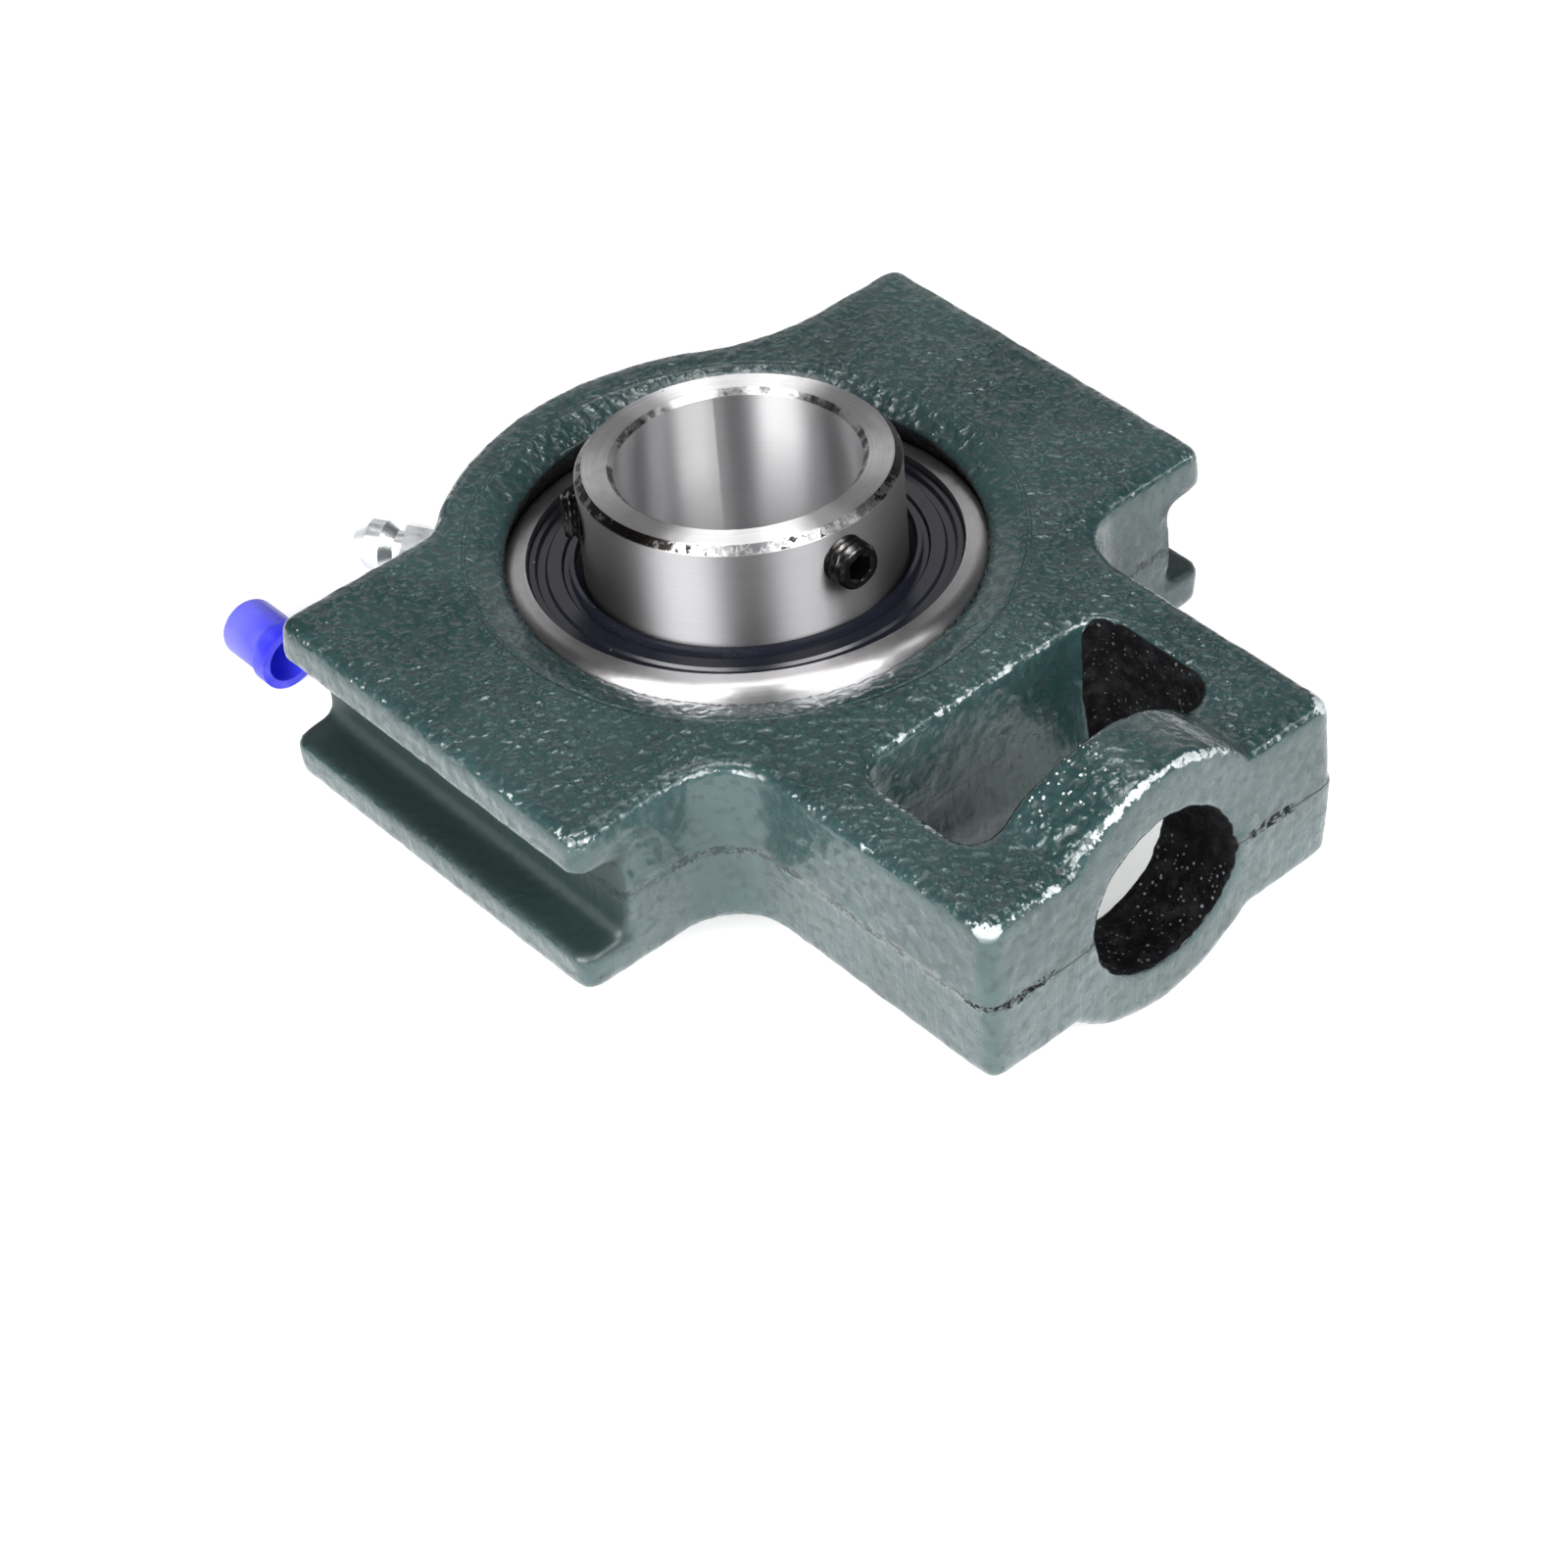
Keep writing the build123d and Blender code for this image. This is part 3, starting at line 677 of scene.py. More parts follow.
broken_edge, g, given, taken = new_group(
    "broken_edge", {"Edge": 0.0, "Amount": 0.5, "Flake size": 1.5}, ("Mask",)
)
flake_scale = g.over(MM_PER_METRE, given["Flake size"])
flakes = g.noise(given["Place"], flake_scale, detail=4.0, roughness=0.6)
stretches = g.noise(given["Place"], g.times(flake_scale, 0.16), detail=1.0)
luck = g.plus(g.times(flakes, 1.5), g.times(stretches, 0.7))
worn = g.plus(given["Edge"], g.minus(luck, 1.1))
threshold = g.minus(1.25, given["Amount"])
worn_from, worn_to = g.minus(threshold, WEAR_GLINT_SOFTNESS), g.plus(threshold, WEAR_GLINT_SOFTNESS)
g.feed(taken["Mask"], g.step(worn, worn_from, worn_to))

# %% [markdown]
# Dust, pits and stains are specks. A Voronoi texture cuts space into cells, each with a colour of
# its own. That colour works as a lottery number: it says whether the cell has a speck, and how big.

# %% Scattered specks
specks, g, given, taken = new_group(
    "specks", {"Cell size": 1.0, "Speck size": 0.2, "Share": 0.3}, ("Mask",)
)
cells = g.put("TexVoronoi", feature="F1")
g.feed(cells.inputs["Vector"], given["Place"])
g.feed(cells.inputs["Scale"], g.over(MM_PER_METRE, given["Cell size"]))
lottery = g.put("SeparateColor", cells.outputs["Color"]).outputs[0]
chosen = g.chain("LESS_THAN", lottery, given["Share"])
size_now = g.times(given["Speck size"], g.plus(0.4, g.over(lottery, given["Share"])))
ragged_scale = g.over(2400.0, given["Cell size"])
ragged = g.minus(g.noise(given["Place"], ragged_scale, detail=3.0, roughness=0.7), 0.5)
rim = g.minus(size_now, g.plus(cells.outputs["Distance"], g.times(ragged, 0.9)))
g.feed(taken["Mask"], g.times(chosen, g.step(rim, 0.0, 0.08)))

# %% [markdown]
# Turned and ground steel carries fine rings round the shaft. The insert leans in its seat, so the
# rings follow the leaning shaft and not the upright. Each point's distance along the shaft and from
# it is measured, and a noise that changes fast with both and slowly with the rest gives the rings.

# %% Turning marks
LEAN = math.radians(5.5)
LEAN_HEADING = math.radians(151)
RING_WANDER = 130.0
lean_direction = Vector((math.cos(LEAN_HEADING), math.sin(LEAN_HEADING), 0))
SHAFT = lean_direction * math.sin(LEAN) + Vector((0, 0, math.cos(LEAN)))
DIP = lean_direction * math.cos(LEAN) - Vector((0, 0, math.sin(LEAN)))

turning_marks, g, given, taken = new_group(
    "turning_marks", {"Mark width": 0.1}, ("Marks", "Along shaft", "From shaft")
)
along = g.measured("DOT_PRODUCT", given["Place"], tuple(SHAFT))
arm = g.combined("SUBTRACT", given["Place"], g.scaled(tuple(SHAFT), along))
from_shaft = g.measured("LENGTH", arm)
per_mark = g.over(MM_PER_METRE, given["Mark width"])
slow = g.parts(g.scaled(given["Place"], RING_WANDER))
ring_along = g.plus(g.times(along, per_mark), slow[0])
ring_out = g.plus(g.times(from_shaft, per_mark), slow[1])
ring_place = g.put("CombineXYZ", ring_along, ring_out, slow[2]).outputs[0]
g.feed(taken["Marks"], g.noise(ring_place, 1.0, detail=3.0, roughness=0.65))
g.feed(taken["Along shaft"], along)
g.feed(taken["From shaft"], from_shaft)
print("shared effects:", [group.name for group in bpy.data.node_groups])

# %% [markdown]
# ## Green enamel
# The paint is a dark blue green, thick and half glossy. It is paler where it lies thick. The
# hollows of the peel are painted nearly black, as shade. The top carries small pebbles, and the
# walls carry wider ones.

# %% Skin of the enamel
GREEN = (0.018, 0.045, 0.046, 1)
GREEN_PALE = (0.034, 0.070, 0.072, 1)
GREEN_SHADE = (0.008, 0.023, 0.022, 1)
TOP_PEBBLES = 1.3
WALL_PEBBLES = 2.1

enamel, b, shader, place = new_finish("green_enamel", ior=1.55)
peel = use_group(b, orange_peel, place, pebble_size=TOP_PEBBLES)
wall_peel = use_group(b, orange_peel, place, pebble_size=WALL_PEBBLES)
facing_up = b.parts(b.put("NewGeometry").outputs["Normal"])["Z"]
level = b.parts(place)["Z"]
is_wall = b.step(b.size_of(facing_up), 0.55, 0.25)
looks_up = b.step(facing_up, 0.05, 0.45)
tone = b.noise(place, 55.0, detail=3.0)
fine_tone = b.noise(place, 420.0, detail=3.0, roughness=0.7)
base = b.blend(b.step(tone, 0.35, 0.7), GREEN, GREEN_PALE)
base = b.blend(b.times(b.step(fine_tone, 0.5, 0.75), 0.45), base, GREEN_PALE)
# Painted shade: the hollows of the peel are darkened.
base = b.blend(b.times(peel["Hollow"], 0.5), base, GREEN_SHADE)
print("pebble sizes in mm:", TOP_PEBBLES, WALL_PEBBLES)

# %% [markdown]
# Below the parting line the pattern was drawn out of the sand and left upright streaks. A noise
# squeezed along Z makes them.

# %% Draw marks
STREAK_SQUEEZE = (1.0, 1.0, 0.06)

streaked = b.put("Mapping", place, vector_type="POINT")
streaked.inputs["Scale"].default_value = STREAK_SQUEEZE
streaks = b.noise(streaked.outputs[0], 900.0, detail=2.0)
below = b.step(level, 0.0, -0.6 * MM)
draw_marks = b.times(is_wall, below, b.step(streaks, 0.45, 0.62))
base = b.blend(b.times(draw_marks, 0.35), base, GREEN_PALE)

# %% [markdown]
# The parting line of the mould shows on the walls as a fine crease at mid height, with a row of
# dark pits along it, most of all at the screw's end. A few loose pits lie scattered over the walls.

# %% Parting line and pits
RAW_BLACK = (0.004, 0.004, 0.005, 1)

seam_wobble = b.times(b.minus(b.noise(place, 160.0), 0.5), 1.2 * MM)
seam_height = b.size_of(b.plus(level, seam_wobble))
seam = b.times(b.step(seam_height, 0.85 * MM, 0.55 * MM), is_wall)
pit_luck = b.step(b.noise(place, 1100.0, detail=3.0, roughness=0.7), 0.48, 0.53)
pit_stretch = b.times(b.step(b.noise(place, 110.0), 0.36, 0.5), b.zone("seam_pits"))
crease = b.step(seam_height, 0.22 * MM, 0.08 * MM)
crease = b.times(crease, is_wall, b.zone("seam_pits"), 0.5)
pits = b.most(b.times(seam, pit_luck, pit_stretch), crease)
pit_patch = b.step(b.noise(place, 60.0), 0.45, 0.6)
loose_pits = use_group(b, specks, place, cell_size=1.1, speck_size=0.2, share=0.22)["Mask"]
loose_pits = b.times(loose_pits, is_wall, pit_patch, 0.85)
base = b.blend(b.most(pits, loose_pits), base, RAW_BLACK)

# %% [markdown]
# In the grooves the paint is darkened as painted shade, and plain. In the cored hole and at the
# slot's end sand stuck to the iron, and no paint reached it. Bare sooty iron is a very dark metal.

# %% Grooves and bare iron
SOOT_PALE = (0.022, 0.023, 0.024, 1)

groove = b.zone("guide_groove")
# Painted shade: the paint in the recessed groove is darkened.
base = b.blend(groove, base, GREEN_SHADE)
bare = b.step(b.plus(b.zone("raw_core"), b.times(b.minus(tone, 0.5), 0.5)), 0.35, 0.6)
soot = b.blend(b.step(fine_tone, 0.4, 0.75), RAW_BLACK, SOOT_PALE)
base = b.blend(bare, base, soot)

# %% [markdown]
# The edges that look up have lost their paint in broken bright patches, which also stand for their
# glint as a painted highlight. Pale dust lies on the boss and a little of it in the hole. The seat
# is machined and oiled, and it is painted nearly black, partly as the shade in the gap round the
# ring.

# %% Worn edges with painted glints, dust and shaded seat
PALE_EDGE_WEAR_GLINT = (0.52, 0.56, 0.57, 1)
DUST_PALE = (0.62, 0.64, 0.63, 1)
SEAT_OILED_AND_SHADED = (0.012, 0.012, 0.013, 1)

edge_wear_and_glint = b.zone("edge_wear_and_glint")
# Worn paint and painted highlight: pale patches on the edges that look up.
edge_wear_glint_mask = use_group(b, broken_edge, place, edge=edge_wear_and_glint, amount=-0.16, flake_size=0.8)["Mask"]
edge_wear_glint_mask = b.times(edge_wear_glint_mask, looks_up)
base = b.blend(b.times(edge_wear_glint_mask, 0.85), base, PALE_EDGE_WEAR_GLINT)
dust_cells = use_group(b, specks, place, cell_size=0.6, speck_size=0.27, share=0.45)["Mask"]
dust_mask = b.times(dust_cells, b.step(b.zone("paint_dust"), 0.25, 0.7))
base = b.blend(dust_mask, base, DUST_PALE)
machined = b.zone("machined_seat")
# Painted shade: the machined seat is darkened nearly black, partly for its oil and partly as the
# shade in the gap round the ring.
base = b.blend(machined, base, SEAT_OILED_AND_SHADED)
b.feed(shader.inputs["Base Color"], base)

# %% [markdown]
# The gloss of the paint is a clear coat over the colour. It is gone wherever the iron is bare, the
# groove is rubbed dull or the seat is machined.

# %% Gloss of the enamel
BARE_METALLIC = 0.9
COAT = 0.45
COAT_ROUGHNESS = 0.16

shader.inputs["Coat Roughness"].default_value = COAT_ROUGHNESS
raw = b.most(bare, pits)
b.feed(shader.inputs["Metallic"], b.times(raw, BARE_METALLIC))
b.feed(shader.inputs["Coat Weight"], b.between(b.most(raw, b.most(groove, machined)), COAT, 0.0))
gloss = b.between(b.step(fine_tone, 0.3, 0.7), 0.16, 0.28)
for mask, roughness in ((peel["Hollow"], 0.45), (groove, 0.5), (raw, 0.7), (edge_wear_glint_mask, 0.3)):
    gloss = b.between(mask, gloss, roughness)
b.feed(shader.inputs["Roughness"], gloss)

# %% [markdown]
# The pebbles are too fine to be points of the mesh, so they are relief in the shader. Its height is
# counted from the middle of the noise, so that calm places stay level with the rest. A shallow line
# round the seat marks where the dished rim ends.

# %% Relief of the enamel
SKIN_DEPTH = 0.62 * MM
MIDDLE_HEIGHT = 0.42
DISH_RADIUS = 34.2 * MM

calm = b.between(b.most(groove, machined), 1.0, 0.2)
calm = b.times(calm, b.between(is_wall, 1.0, b.between(below, 0.9, 0.5)))
from_seat = b.measured("LENGTH", b.combined("MULTIPLY", place, (1, 1, 0)))
dish_line = b.step(b.size_of(b.minus(from_seat, DISH_RADIUS)), 0.35 * MM, 0.1 * MM)
dish_line = b.times(dish_line, b.step(facing_up, 0.5, 0.8))
coarse = b.times(b.noise(place, 900.0, detail=4.0, roughness=0.7), bare, 1.6)
pebbly = b.minus(b.between(is_wall, peel["Height"], wall_peel["Height"]), MIDDLE_HEIGHT)
skin_height = b.minus(b.plus(b.times(pebbly, calm), coarse), b.times(pits, 0.6))
skin_height = b.plus(skin_height, b.times(draw_marks, 0.04))
skin_height = b.minus(skin_height, b.times(dish_line, 0.16))
b.feed(shader.inputs["Normal"], b.relief(skin_height, SKIN_DEPTH))
shape.materials.append(enamel)
print("nodes in the enamel:", len(enamel.node_tree.nodes))

# %% [markdown]
# ## Ground steel
# Both rings are ground, so each surface is covered in fine rings round the shaft. Such a surface
# smears a highlight across the marks and not along them, which is why the collar shows upright
# bands. In the shader that is the Anisotropic value, with a Tangent that runs round the shaft and a
# quarter turn. The bore is honed, so its bands are sharper. The outside of the collar is ground and
# greyer than the flat face, and it is darkened further as painted shade. The chamfer of the collar
# is turned roughly, and it is scarred dark and bright.

# %% Steel colours and places
STEEL = (0.72, 0.71, 0.72, 1)
STEEL_DARK = (0.42, 0.41, 0.42, 1)
STEEL_GROUND_AND_SHADE = (0.24, 0.237, 0.245, 1)
STEEL_HONED = (0.58, 0.575, 0.585, 1)
STEEL_SCAR = (0.024, 0.020, 0.018, 1)
BORE_EDGE = (15.45 * MM, 15.25 * MM)
MOUTH_EDGE = (15.85 * MM, 15.65 * MM)
MOUTH_LEVEL = (21.45 * MM, 21.6 * MM)
FACE_LEVEL = (22.2 * MM, 22.12 * MM)
CHAMFER_RADIUS = 18.85 * MM
CHAMFER_LEVEL = 21.2 * MM
QUARTER_TURN = 0.25
MARK_DEPTH = 0.004 * MM

# %% Collar and chamfer
def ground_collar(b, place, marks, base, worn, height, roughness):
    """The steel's colour, roughness and height with a ground outside, darkened as painted shade,
    and a scarred chamfer.
    """
    from_shaft, along = marks["From shaft"], marks["Along shaft"]
    outside = b.times(
        b.step(from_shaft, CHAMFER_RADIUS - 0.1 * MM, CHAMFER_RADIUS + 0.3 * MM),
        b.step(along, CHAMFER_LEVEL + 0.1 * MM, CHAMFER_LEVEL - 0.1 * MM),
    )
    # Painted shade: the ground outside is darkened beyond its greyer finish.
    base = b.blend(b.times(outside, 0.85), base, STEEL_GROUND_AND_SHADE)
    worn = b.between(outside, worn, roughness + 0.17)
    chamfer = b.times(
        b.step(from_shaft, CHAMFER_RADIUS - 0.25 * MM, CHAMFER_RADIUS),
        b.step(along, CHAMFER_LEVEL - 0.1 * MM, CHAMFER_LEVEL + 0.15 * MM),
        b.step(along, *FACE_LEVEL),
    )
    luck = b.noise(place, 650.0, detail=4.0, roughness=0.65)
    stretch = b.noise(place, 75.0, detail=1.0)
    scar_sum = b.plus(b.times(luck, 0.6), b.times(stretch, 0.6))
    base = b.blend(b.times(chamfer, b.step(luck, 0.62, 0.42)), base, STEEL_GROUND_AND_SHADE)
    scar = b.times(chamfer, b.step(scar_sum, 0.56, 0.62))
    mouth = b.times(b.step(from_shaft, *MOUTH_EDGE), b.step(along, *MOUTH_LEVEL))
    scar = b.most(scar, b.times(mouth, b.step(scar_sum, 0.52, 0.68, 0.0, 0.85)))
    base = b.blend(scar, base, STEEL_SCAR)
    worn = b.between(chamfer, worn, 0.4)
    height = b.plus(height, b.times(chamfer, luck, 22.0))
    return base, worn, height


# %% Ground steel
def ring_steel(name, roughness, anisotropic, dull=0.0, collar=False):
    """Steel ground round the shaft, more or less dull. The collar's has a rough chamfer."""
    finish, b, shader, place = new_finish(name, metallic=1.0)
    shader.inputs["Anisotropic"].default_value = anisotropic
    shader.inputs["Anisotropic Rotation"].default_value = QUARTER_TURN
    tangent = b.put("Tangent", direction_type="RADIAL", axis="Z").outputs[0]
    b.feed(shader.inputs["Tangent"], tangent)
    marks = use_group(b, turning_marks, place, mark_width=0.07)
    wide_marks = use_group(b, turning_marks, place, mark_width=0.6)["Marks"]
    cloud = b.noise(place, 160.0, detail=3.0)
    mottle = b.noise(place, 900.0, detail=3.0, roughness=0.7)
    base = b.blend(b.step(marks["Marks"], 0.4, 0.7, 0.0, 0.5), STEEL, STEEL_DARK)
    base = b.blend(b.step(wide_marks, 0.5, 0.75, 0.0, 0.35), base, STEEL_DARK)
    base = b.blend(b.step(cloud, 0.55, 0.75, 0.0, 0.3), base, STEEL_DARK)
    base = b.blend(dull, base, STEEL_DARK)
    stains = use_group(b, specks, place, cell_size=3.4, speck_size=0.07, share=0.22)["Mask"]
    base = b.blend(b.times(stains, 0.8), base, STEEL_SCAR)
    honed = b.step(marks["From shaft"], *BORE_EDGE)
    base = b.blend(b.times(honed, 0.8), base, STEEL_HONED)
    worn = b.between(b.step(mottle, 0.35, 0.7), roughness, roughness + 0.06)
    worn = b.between(honed, worn, roughness - 0.05)
    height = b.plus(b.times(marks["Marks"], 0.6), b.times(mottle, 0.25))
    if collar:
        base, worn, height = ground_collar(b, place, marks, base, worn, height, roughness)
    b.feed(shader.inputs["Base Color"], base)
    b.feed(shader.inputs["Roughness"], worn)
    b.feed(shader.inputs["Normal"], b.relief(height, MARK_DEPTH))
    return finish


def dress(finish, *names):
    """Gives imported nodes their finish."""
    for name in names:
        mesh = nodes[name].data
        mesh.materials.clear()
        mesh.materials.append(finish)
    print(finish.name, "on", *names)


dress(ring_steel("collar_steel", 0.40, 0.98, collar=True), "inner_ring")
dress(ring_steel("race_steel", 0.36, 0.85, dull=0.55), "outer_ring")

# %% [markdown]
# ## Seal rubber
# The seals are moulded in a nearly black rubber with a blue cast. Moulding leaves fine concentric
# rings and a soft gloss, and handling leaves a few grey smears. The ridges themselves are geometry.

# %% Rubber
RUBBER_BLACK = (0.011, 0.012, 0.020, 1)
RUBBER_SMEAR = (0.027, 0.028, 0.043, 1)
RUBBER_DUST = (0.2, 0.2, 0.22, 1)

rubber, b, shader, place = new_finish("seal_rubber_finish", ior=1.46)
marks = use_group(b, turning_marks, place, mark_width=0.35)["Marks"]
smear = b.step(b.noise(place, 120.0, detail=4.0, roughness=0.6), 0.5, 0.8)
dust_grains = use_group(b, specks, place, cell_size=2.6, speck_size=0.06, share=0.35)["Mask"]
base = b.blend(b.times(smear, 0.5), RUBBER_BLACK, RUBBER_SMEAR)
base = b.blend(b.times(dust_grains, 0.6), base, RUBBER_DUST)
b.feed(shader.inputs["Base Color"], base)
b.feed(shader.inputs["Roughness"], b.between(smear, 0.24, 0.4))
b.feed(shader.inputs["Normal"], b.relief(marks, 0.008 * MM))
dress(rubber, "seal_rubber_top", "seal_rubber_bottom")

# %% [markdown]
# ## Pressed and polished metal
# The cage and the seal cores are bright pressed strip, and the balls are polished. They differ only
# in colour, roughness, the size of their grain and its depth, so one function makes them all.

# %% Small metal finishes
def bright_metal(name, colour, roughness, grain, depth):
    """Bright metal with a fine irregular grain, whose depth is in mm."""
    finish, b, shader, place = new_finish(name, metallic=1.0)
    cloud = b.noise(place, grain * 0.3, detail=3.0)
    fine = b.noise(place, grain, detail=3.0, roughness=0.6)
    dull = tuple(0.6 * part for part in colour)
    base = b.blend(b.step(cloud, 0.45, 0.75, 0.0, 0.6), (*colour, 1), (*dull, 1))
    worn = b.between(b.step(fine, 0.3, 0.7), roughness, roughness + 0.12)
    b.feed(shader.inputs["Base Color"], base)
    b.feed(shader.inputs["Roughness"], worn)
    b.feed(shader.inputs["Normal"], b.relief(fine, depth * MM))
    return finish


cage = ("cage_upper", "cage_lower")
cores = ("seal_core_top", "seal_core_bottom")
balls = [name for name in nodes if name.startswith("ball_")]
for name, colour, roughness, grain, depth, pieces in (
    ("pressed_steel_finish", (0.55, 0.55, 0.56), 0.3, 900.0, 0.02, cage),
    ("core_steel_finish", (0.5, 0.5, 0.51), 0.32, 800.0, 0.02, cores),
    ("rivet_finish", (0.6, 0.59, 0.58), 0.28, 1200.0, 0.02, ("cage_rivets",)),
    ("polished_ball", (0.66, 0.66, 0.67), 0.06, 500.0, 0.002, (*balls, "nipple_ball")),
):
    dress(bright_metal(name, colour, roughness, grain, depth), *pieces)

# %% [markdown]
# ## Zinc plate
# The nipple is zinc plated, and a short thread shows where it leaves the casting. The thread is a
# sine wave along the nipple, as relief, because only a turn or two of it can be seen.

# %% Zinc plate
NIPPLE_HEADING = math.radians(-150)
NIPPLE_DIRECTION = Vector((math.cos(NIPPLE_HEADING), math.sin(NIPPLE_HEADING), 0))
NIPPLE_PITCH = 1.0 * MM
NIPPLE_THREAD_END = (41.35 * MM, 41.25 * MM)
ZINC = (0.88, 0.90, 0.92, 1)
ZINC_SCUFFED = (0.55, 0.56, 0.58, 1)

zinc, b, shader, place = new_finish("zinc_plate", metallic=1.0)
along_nipple = b.measured("DOT_PRODUCT", place, tuple(NIPPLE_DIRECTION))
on_thread = b.step(along_nipple, *NIPPLE_THREAD_END)
turns = b.times(along_nipple, 2 * math.pi / NIPPLE_PITCH)
thread_wave = b.times(b.put("Math", turns, operation="SINE").outputs[0], on_thread, 3.5)
plating = b.noise(place, 700.0, detail=4.0, roughness=0.65)
scuffs = b.step(b.noise(place, 260.0, detail=3.0), 0.52, 0.7)
b.feed(shader.inputs["Base Color"], b.blend(b.times(scuffs, 0.6), ZINC, ZINC_SCUFFED))
b.feed(shader.inputs["Roughness"], b.between(plating, 0.22, 0.42))
b.feed(shader.inputs["Normal"], b.relief(b.plus(thread_wave, plating), 0.05 * MM))
dress(zinc, "grease_nipple")

# %% [markdown]
# ## The check spring
# Inside the nipple a small spring holds the check ball against its mouth. When grease is pressed
# in, the ball moves back and the spring shortens. The solid of the spring is rigid. A copy of it is
# made with its own mesh and finish and hung on the housing, and the imported spring is hidden.

# %% Check spring
spring_finish = bright_metal("spring_finish", (0.5, 0.5, 0.5), 0.25, 2000.0, 0.01)
check_spring = put_in_scene("check_spring", nodes["nipple_spring"].data.copy())
check_spring.data.materials.clear()
check_spring.data.materials.append(spring_finish)
spring_along = points_of(check_spring.data) @ np.array(NIPPLE_DIRECTION)
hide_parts("nipple_spring")
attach(check_spring, "housing")
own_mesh(check_spring)

# %% [markdown]
# ## Blue cap
# The dust cap is a thin moulding in soft blue plastic. Light soaks through it, so the outside looks
# pale where the wall is thin and lit, and the inside of the tube a deep blue. Most of that is
# painted light, by the distance from the cap's axis and by the place along the cap, darker where
# the nozzle sits inside and paler at the hollow end, because real scattering is lost when the part
# leaves
# Blender. Only a little of the real kind is added.

# %% Cap plastic
CAP_AXIS = Vector((0, -37.3, -13.9)) * MM
CAP_WALL = (3.3 * MM, 3.7 * MM)
CAP_LENGTH = (-47.5 * MM, -55.5 * MM)
INSIDE_BLUE = (0.06, 0.07, 0.9, 1)
DEEP_BLUE = (0.035, 0.035, 0.78, 1)
END_BLUE = (0.15, 0.15, 0.95, 1)
CLOUD_BLUE = (0.22, 0.22, 1.0, 1)

plastic, b, shader, place = new_finish("blue_plastic", ior=1.5)
from_axis = b.combined("SUBTRACT", place, tuple(CAP_AXIS))
radius = b.measured("LENGTH", b.combined("MULTIPLY", from_axis, (0, 1, 1)))
shell_blue = b.blend(b.step(b.parts(place)["X"], *CAP_LENGTH), DEEP_BLUE, END_BLUE)
cloud = b.noise(place, 350.0, detail=3.0)
shell_blue = b.blend(b.step(cloud, 0.4, 0.75, 0.0, 0.35), shell_blue, CLOUD_BLUE)
b.feed(shader.inputs["Base Color"], b.blend(b.step(radius, *CAP_WALL), INSIDE_BLUE, shell_blue))
b.feed(shader.inputs["Roughness"], b.between(cloud, 0.28, 0.42))
shader.inputs["Subsurface Weight"].default_value = 0.25
shader.inputs["Subsurface Radius"].default_value = (0.2, 0.2, 1.0)
shader.inputs["Subsurface Scale"].default_value = 1.2 * MM
b.feed(shader.inputs["Normal"], b.relief(b.noise(place, 900.0, detail=2.0), 0.02 * MM))
dress(plastic, "nipple_cap")

# %% [markdown]
# ## Set screws
# The solid of a set screw is a plain pin with a socket. The real one has a thread, and both screws
# stand out of the collar far enough to show it. A screw is a shape of turning, so each is built as
# one grid of points: round the axis in steps, and along a profile from the cup point, over the
# thread, across the end face and down the hexagon socket. The thread's ridge moves along by one
# pitch while the profile goes round once, which is all that a helix is.

# %% Thread and profile of a screw, in mm
SCREW_LENGTH = 6.0
THREAD_RADIUS = 2.965
THREAD_PITCH = 1.0
THREAD_DEPTH = 0.55
THREAD_ROWS = 64
THREAD_MARGIN = 0.02
FLANK_SLOPE = 1.25
ROOT_SHARE = 0.12
CUP_RADIUS = 1.6
CUP_SLOPE = 1.5
CUP_ROWS = [(0.75, 0.0), (0.6, 0.7), (0.12, 1.35)]
END_BEVEL = 0.45
END_INSET = 0.62
SOCKET_FLATS = 3.0
SOCKET_MOUTH = 1.86
SOCKET_ROWS = [(0.14, 1.0), (1.4, 1.0), (3.1, 1.0), (3.3, 0.6), (3.5, 0.0)]


def thread_radius(along, turn):
    """The radius of a screw at a distance along it and a share of a turn."""
    phase = (along / THREAD_PITCH - turn) % 1.0
    flank = np.clip(np.abs(phase - 0.5) * 2 * FLANK_SLOPE - ROOT_SHARE, 0, 1)
    radius = THREAD_RADIUS - THREAD_DEPTH * (1 - flank)
    cup_limit = CUP_RADIUS + along * CUP_SLOPE
    end_limit = THREAD_RADIUS - END_BEVEL + (SCREW_LENGTH - along)
    return np.minimum(radius, np.minimum(cup_limit, end_limit))


def screw_profile(turn):
    """Rows of distance along and radius at a share of a turn, from the cup to the socket."""
    rows = list(CUP_ROWS)
    for along in np.linspace(THREAD_MARGIN, SCREW_LENGTH - THREAD_MARGIN, THREAD_ROWS):
        rows.append((along, float(thread_radius(along, turn))))
    sixth = (turn * 6) % 1.0 - 0.5
    hexagon = SOCKET_FLATS / 2 / math.cos(sixth * math.pi / 3)
    rows += [(SCREW_LENGTH, THREAD_RADIUS - END_INSET), (SCREW_LENGTH, SOCKET_MOUTH)]
    for depth, share in SOCKET_ROWS:
        rows.append((SCREW_LENGTH - depth, hexagon * share))
    return rows


# %% Threaded screws
SCREW_LEVEL = 17.2 * MM
ROUND_STEPS = 72
WELD = 0.004 * MM


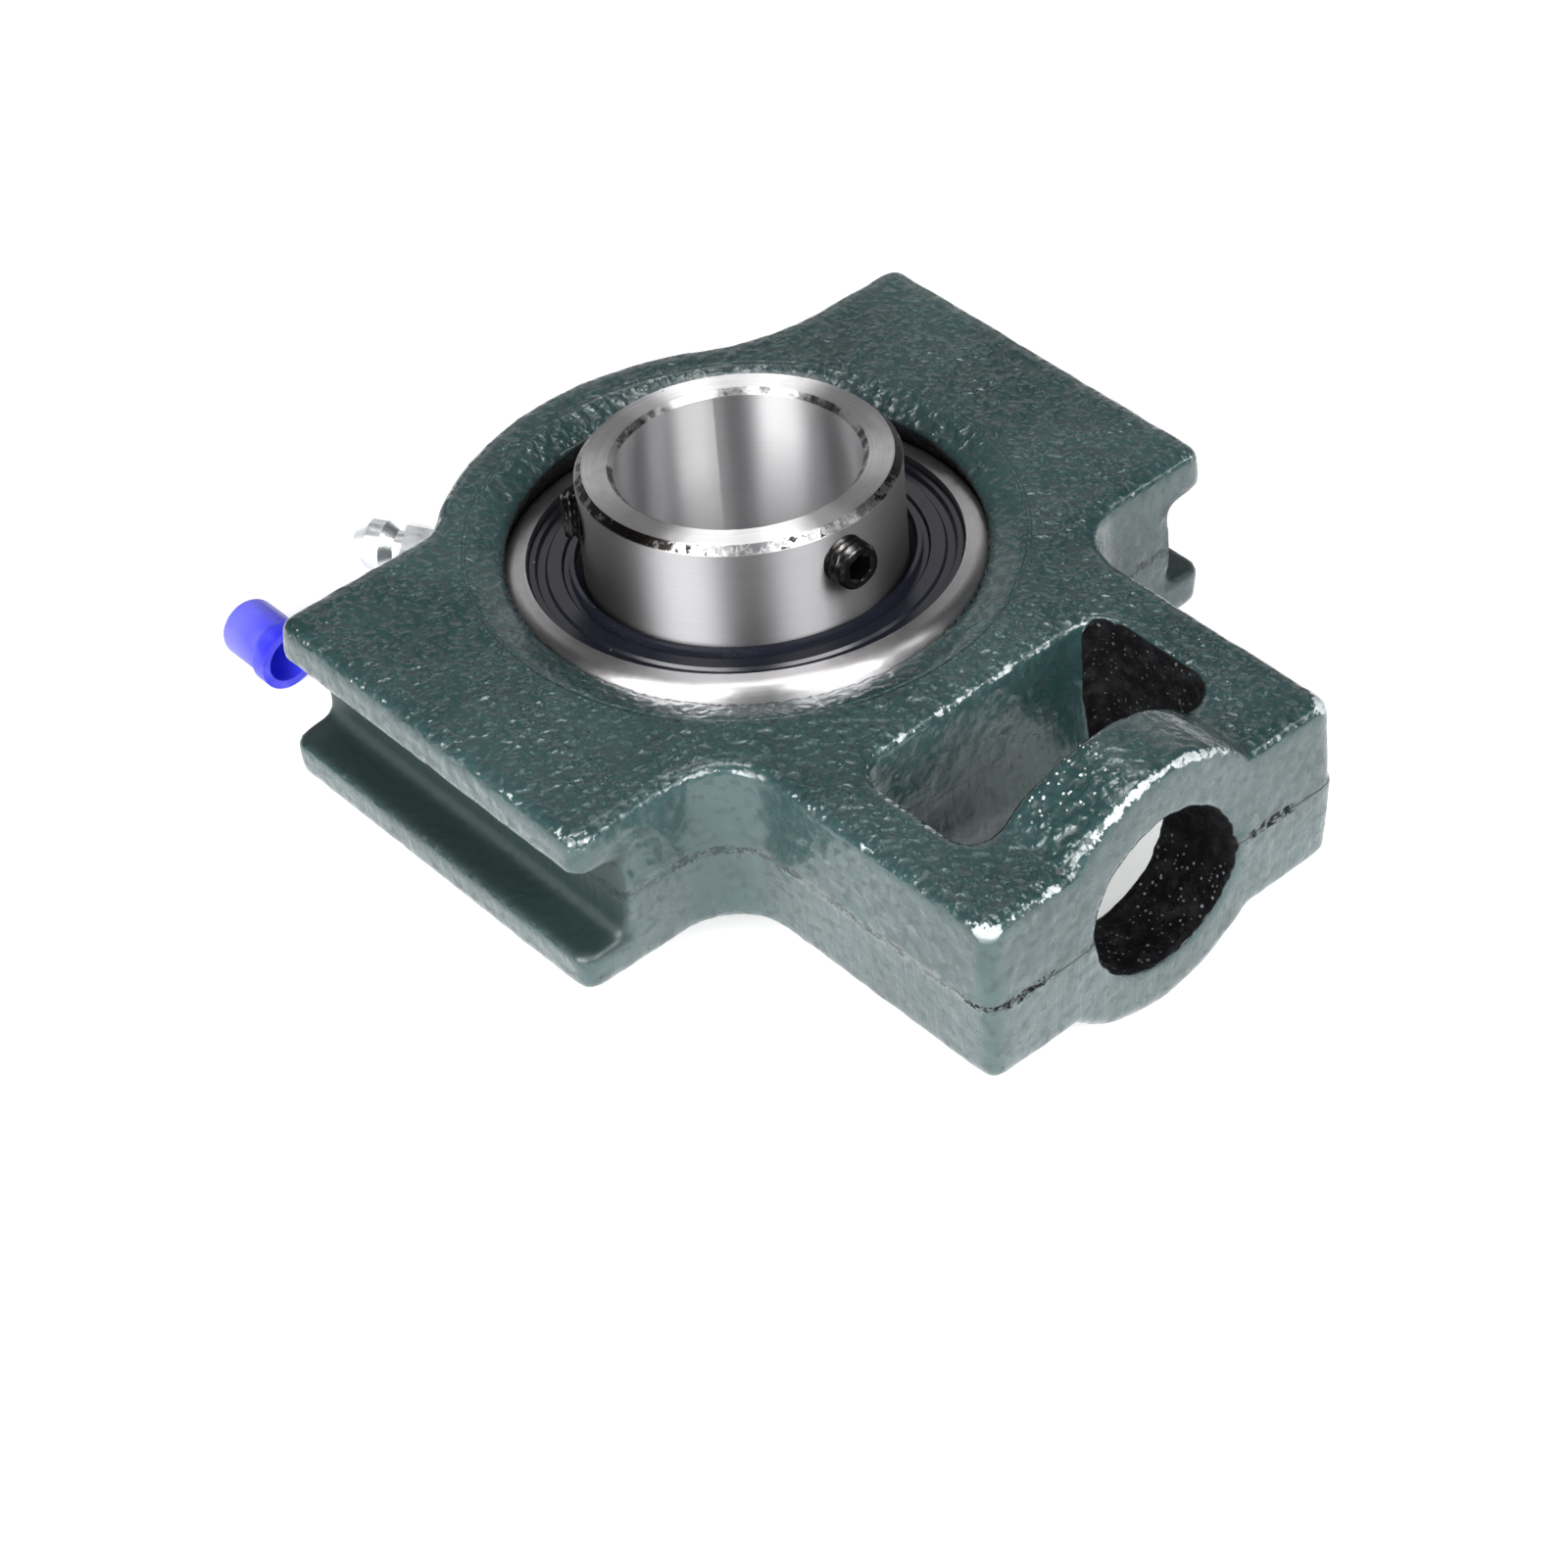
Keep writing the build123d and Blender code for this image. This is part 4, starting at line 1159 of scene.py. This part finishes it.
def screw_grid(out_direction, tip_radius):
    """The points of a screw and its faces, round its axis step by step."""
    side = SHAFT.cross(out_direction).normalized()
    points = []
    for step in range(ROUND_STEPS):
        turn = step / ROUND_STEPS
        angle = 2 * math.pi * turn
        arm = SHAFT * math.cos(angle) + side * math.sin(angle)
        for along, radius in screw_profile(turn):
            middle = SHAFT * SCREW_LEVEL + out_direction * (tip_radius + along) * MM
            points.append(middle + arm * radius * MM)
    rows = len(points) // ROUND_STEPS
    faces = []
    for step in range(ROUND_STEPS):
        here, there = step * rows, (step + 1) % ROUND_STEPS * rows
        for row in range(rows - 1):
            faces.append((here + row, there + row, there + row + 1, here + row + 1))
    return points, faces


def threaded_screw(name, tip_radius, quarter, body):
    """A set screw whose tip lies at a radius from the shaft, in a direction round it."""
    out_direction = Quaternion(SHAFT, math.radians(quarter)) @ DIP
    points, faces = screw_grid(out_direction, tip_radius)
    mesh = bpy.data.meshes.new(name)
    mesh.from_pydata(points, [], faces)
    made = bmesh.new()
    made.from_mesh(mesh)
    bmesh.ops.remove_doubles(made, verts=made.verts, dist=WELD)
    bmesh.ops.recalc_face_normals(made, faces=made.faces)
    made.to_mesh(mesh)
    made.free()
    screw = put_in_scene(name, mesh)
    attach(screw, body)
    return screw


screw_a = threaded_screw("threaded_screw_a", 16.8, -154.0, "set_screw_a")
screw_b = threaded_screw("threaded_screw_b", 15.6, -274.0, "set_screw_b")
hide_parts("set_screw_a")
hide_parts("set_screw_b")
print("screw faces:", len(screw_a.data.polygons))

# %% [markdown]
# The screws are blackened in hot oil. The film is thin and glossy, and it is rubbed through to grey
# steel in places.

# %% Black oxide
OXIDE_BLACK = (0.014, 0.013, 0.013, 1)
RUBBED_GREY = (0.20, 0.19, 0.18, 1)

black_oxide, b, shader, place = new_finish("black_oxide", metallic=0.85)
film = b.noise(place, 900.0, detail=4.0, roughness=0.65)
rubbed = b.times(b.step(b.noise(place, 400.0, detail=3.0), 0.5, 0.72), 0.55)
b.feed(shader.inputs["Base Color"], b.blend(rubbed, OXIDE_BLACK, RUBBED_GREY))
b.feed(shader.inputs["Roughness"], b.between(film, 0.14, 0.34))
b.feed(shader.inputs["Normal"], b.relief(film, 0.03 * MM))
for screw in (screw_a, screw_b):
    screw.data.materials.append(black_oxide)
print(black_oxide.name, "on", screw_a.name, screw_b.name)
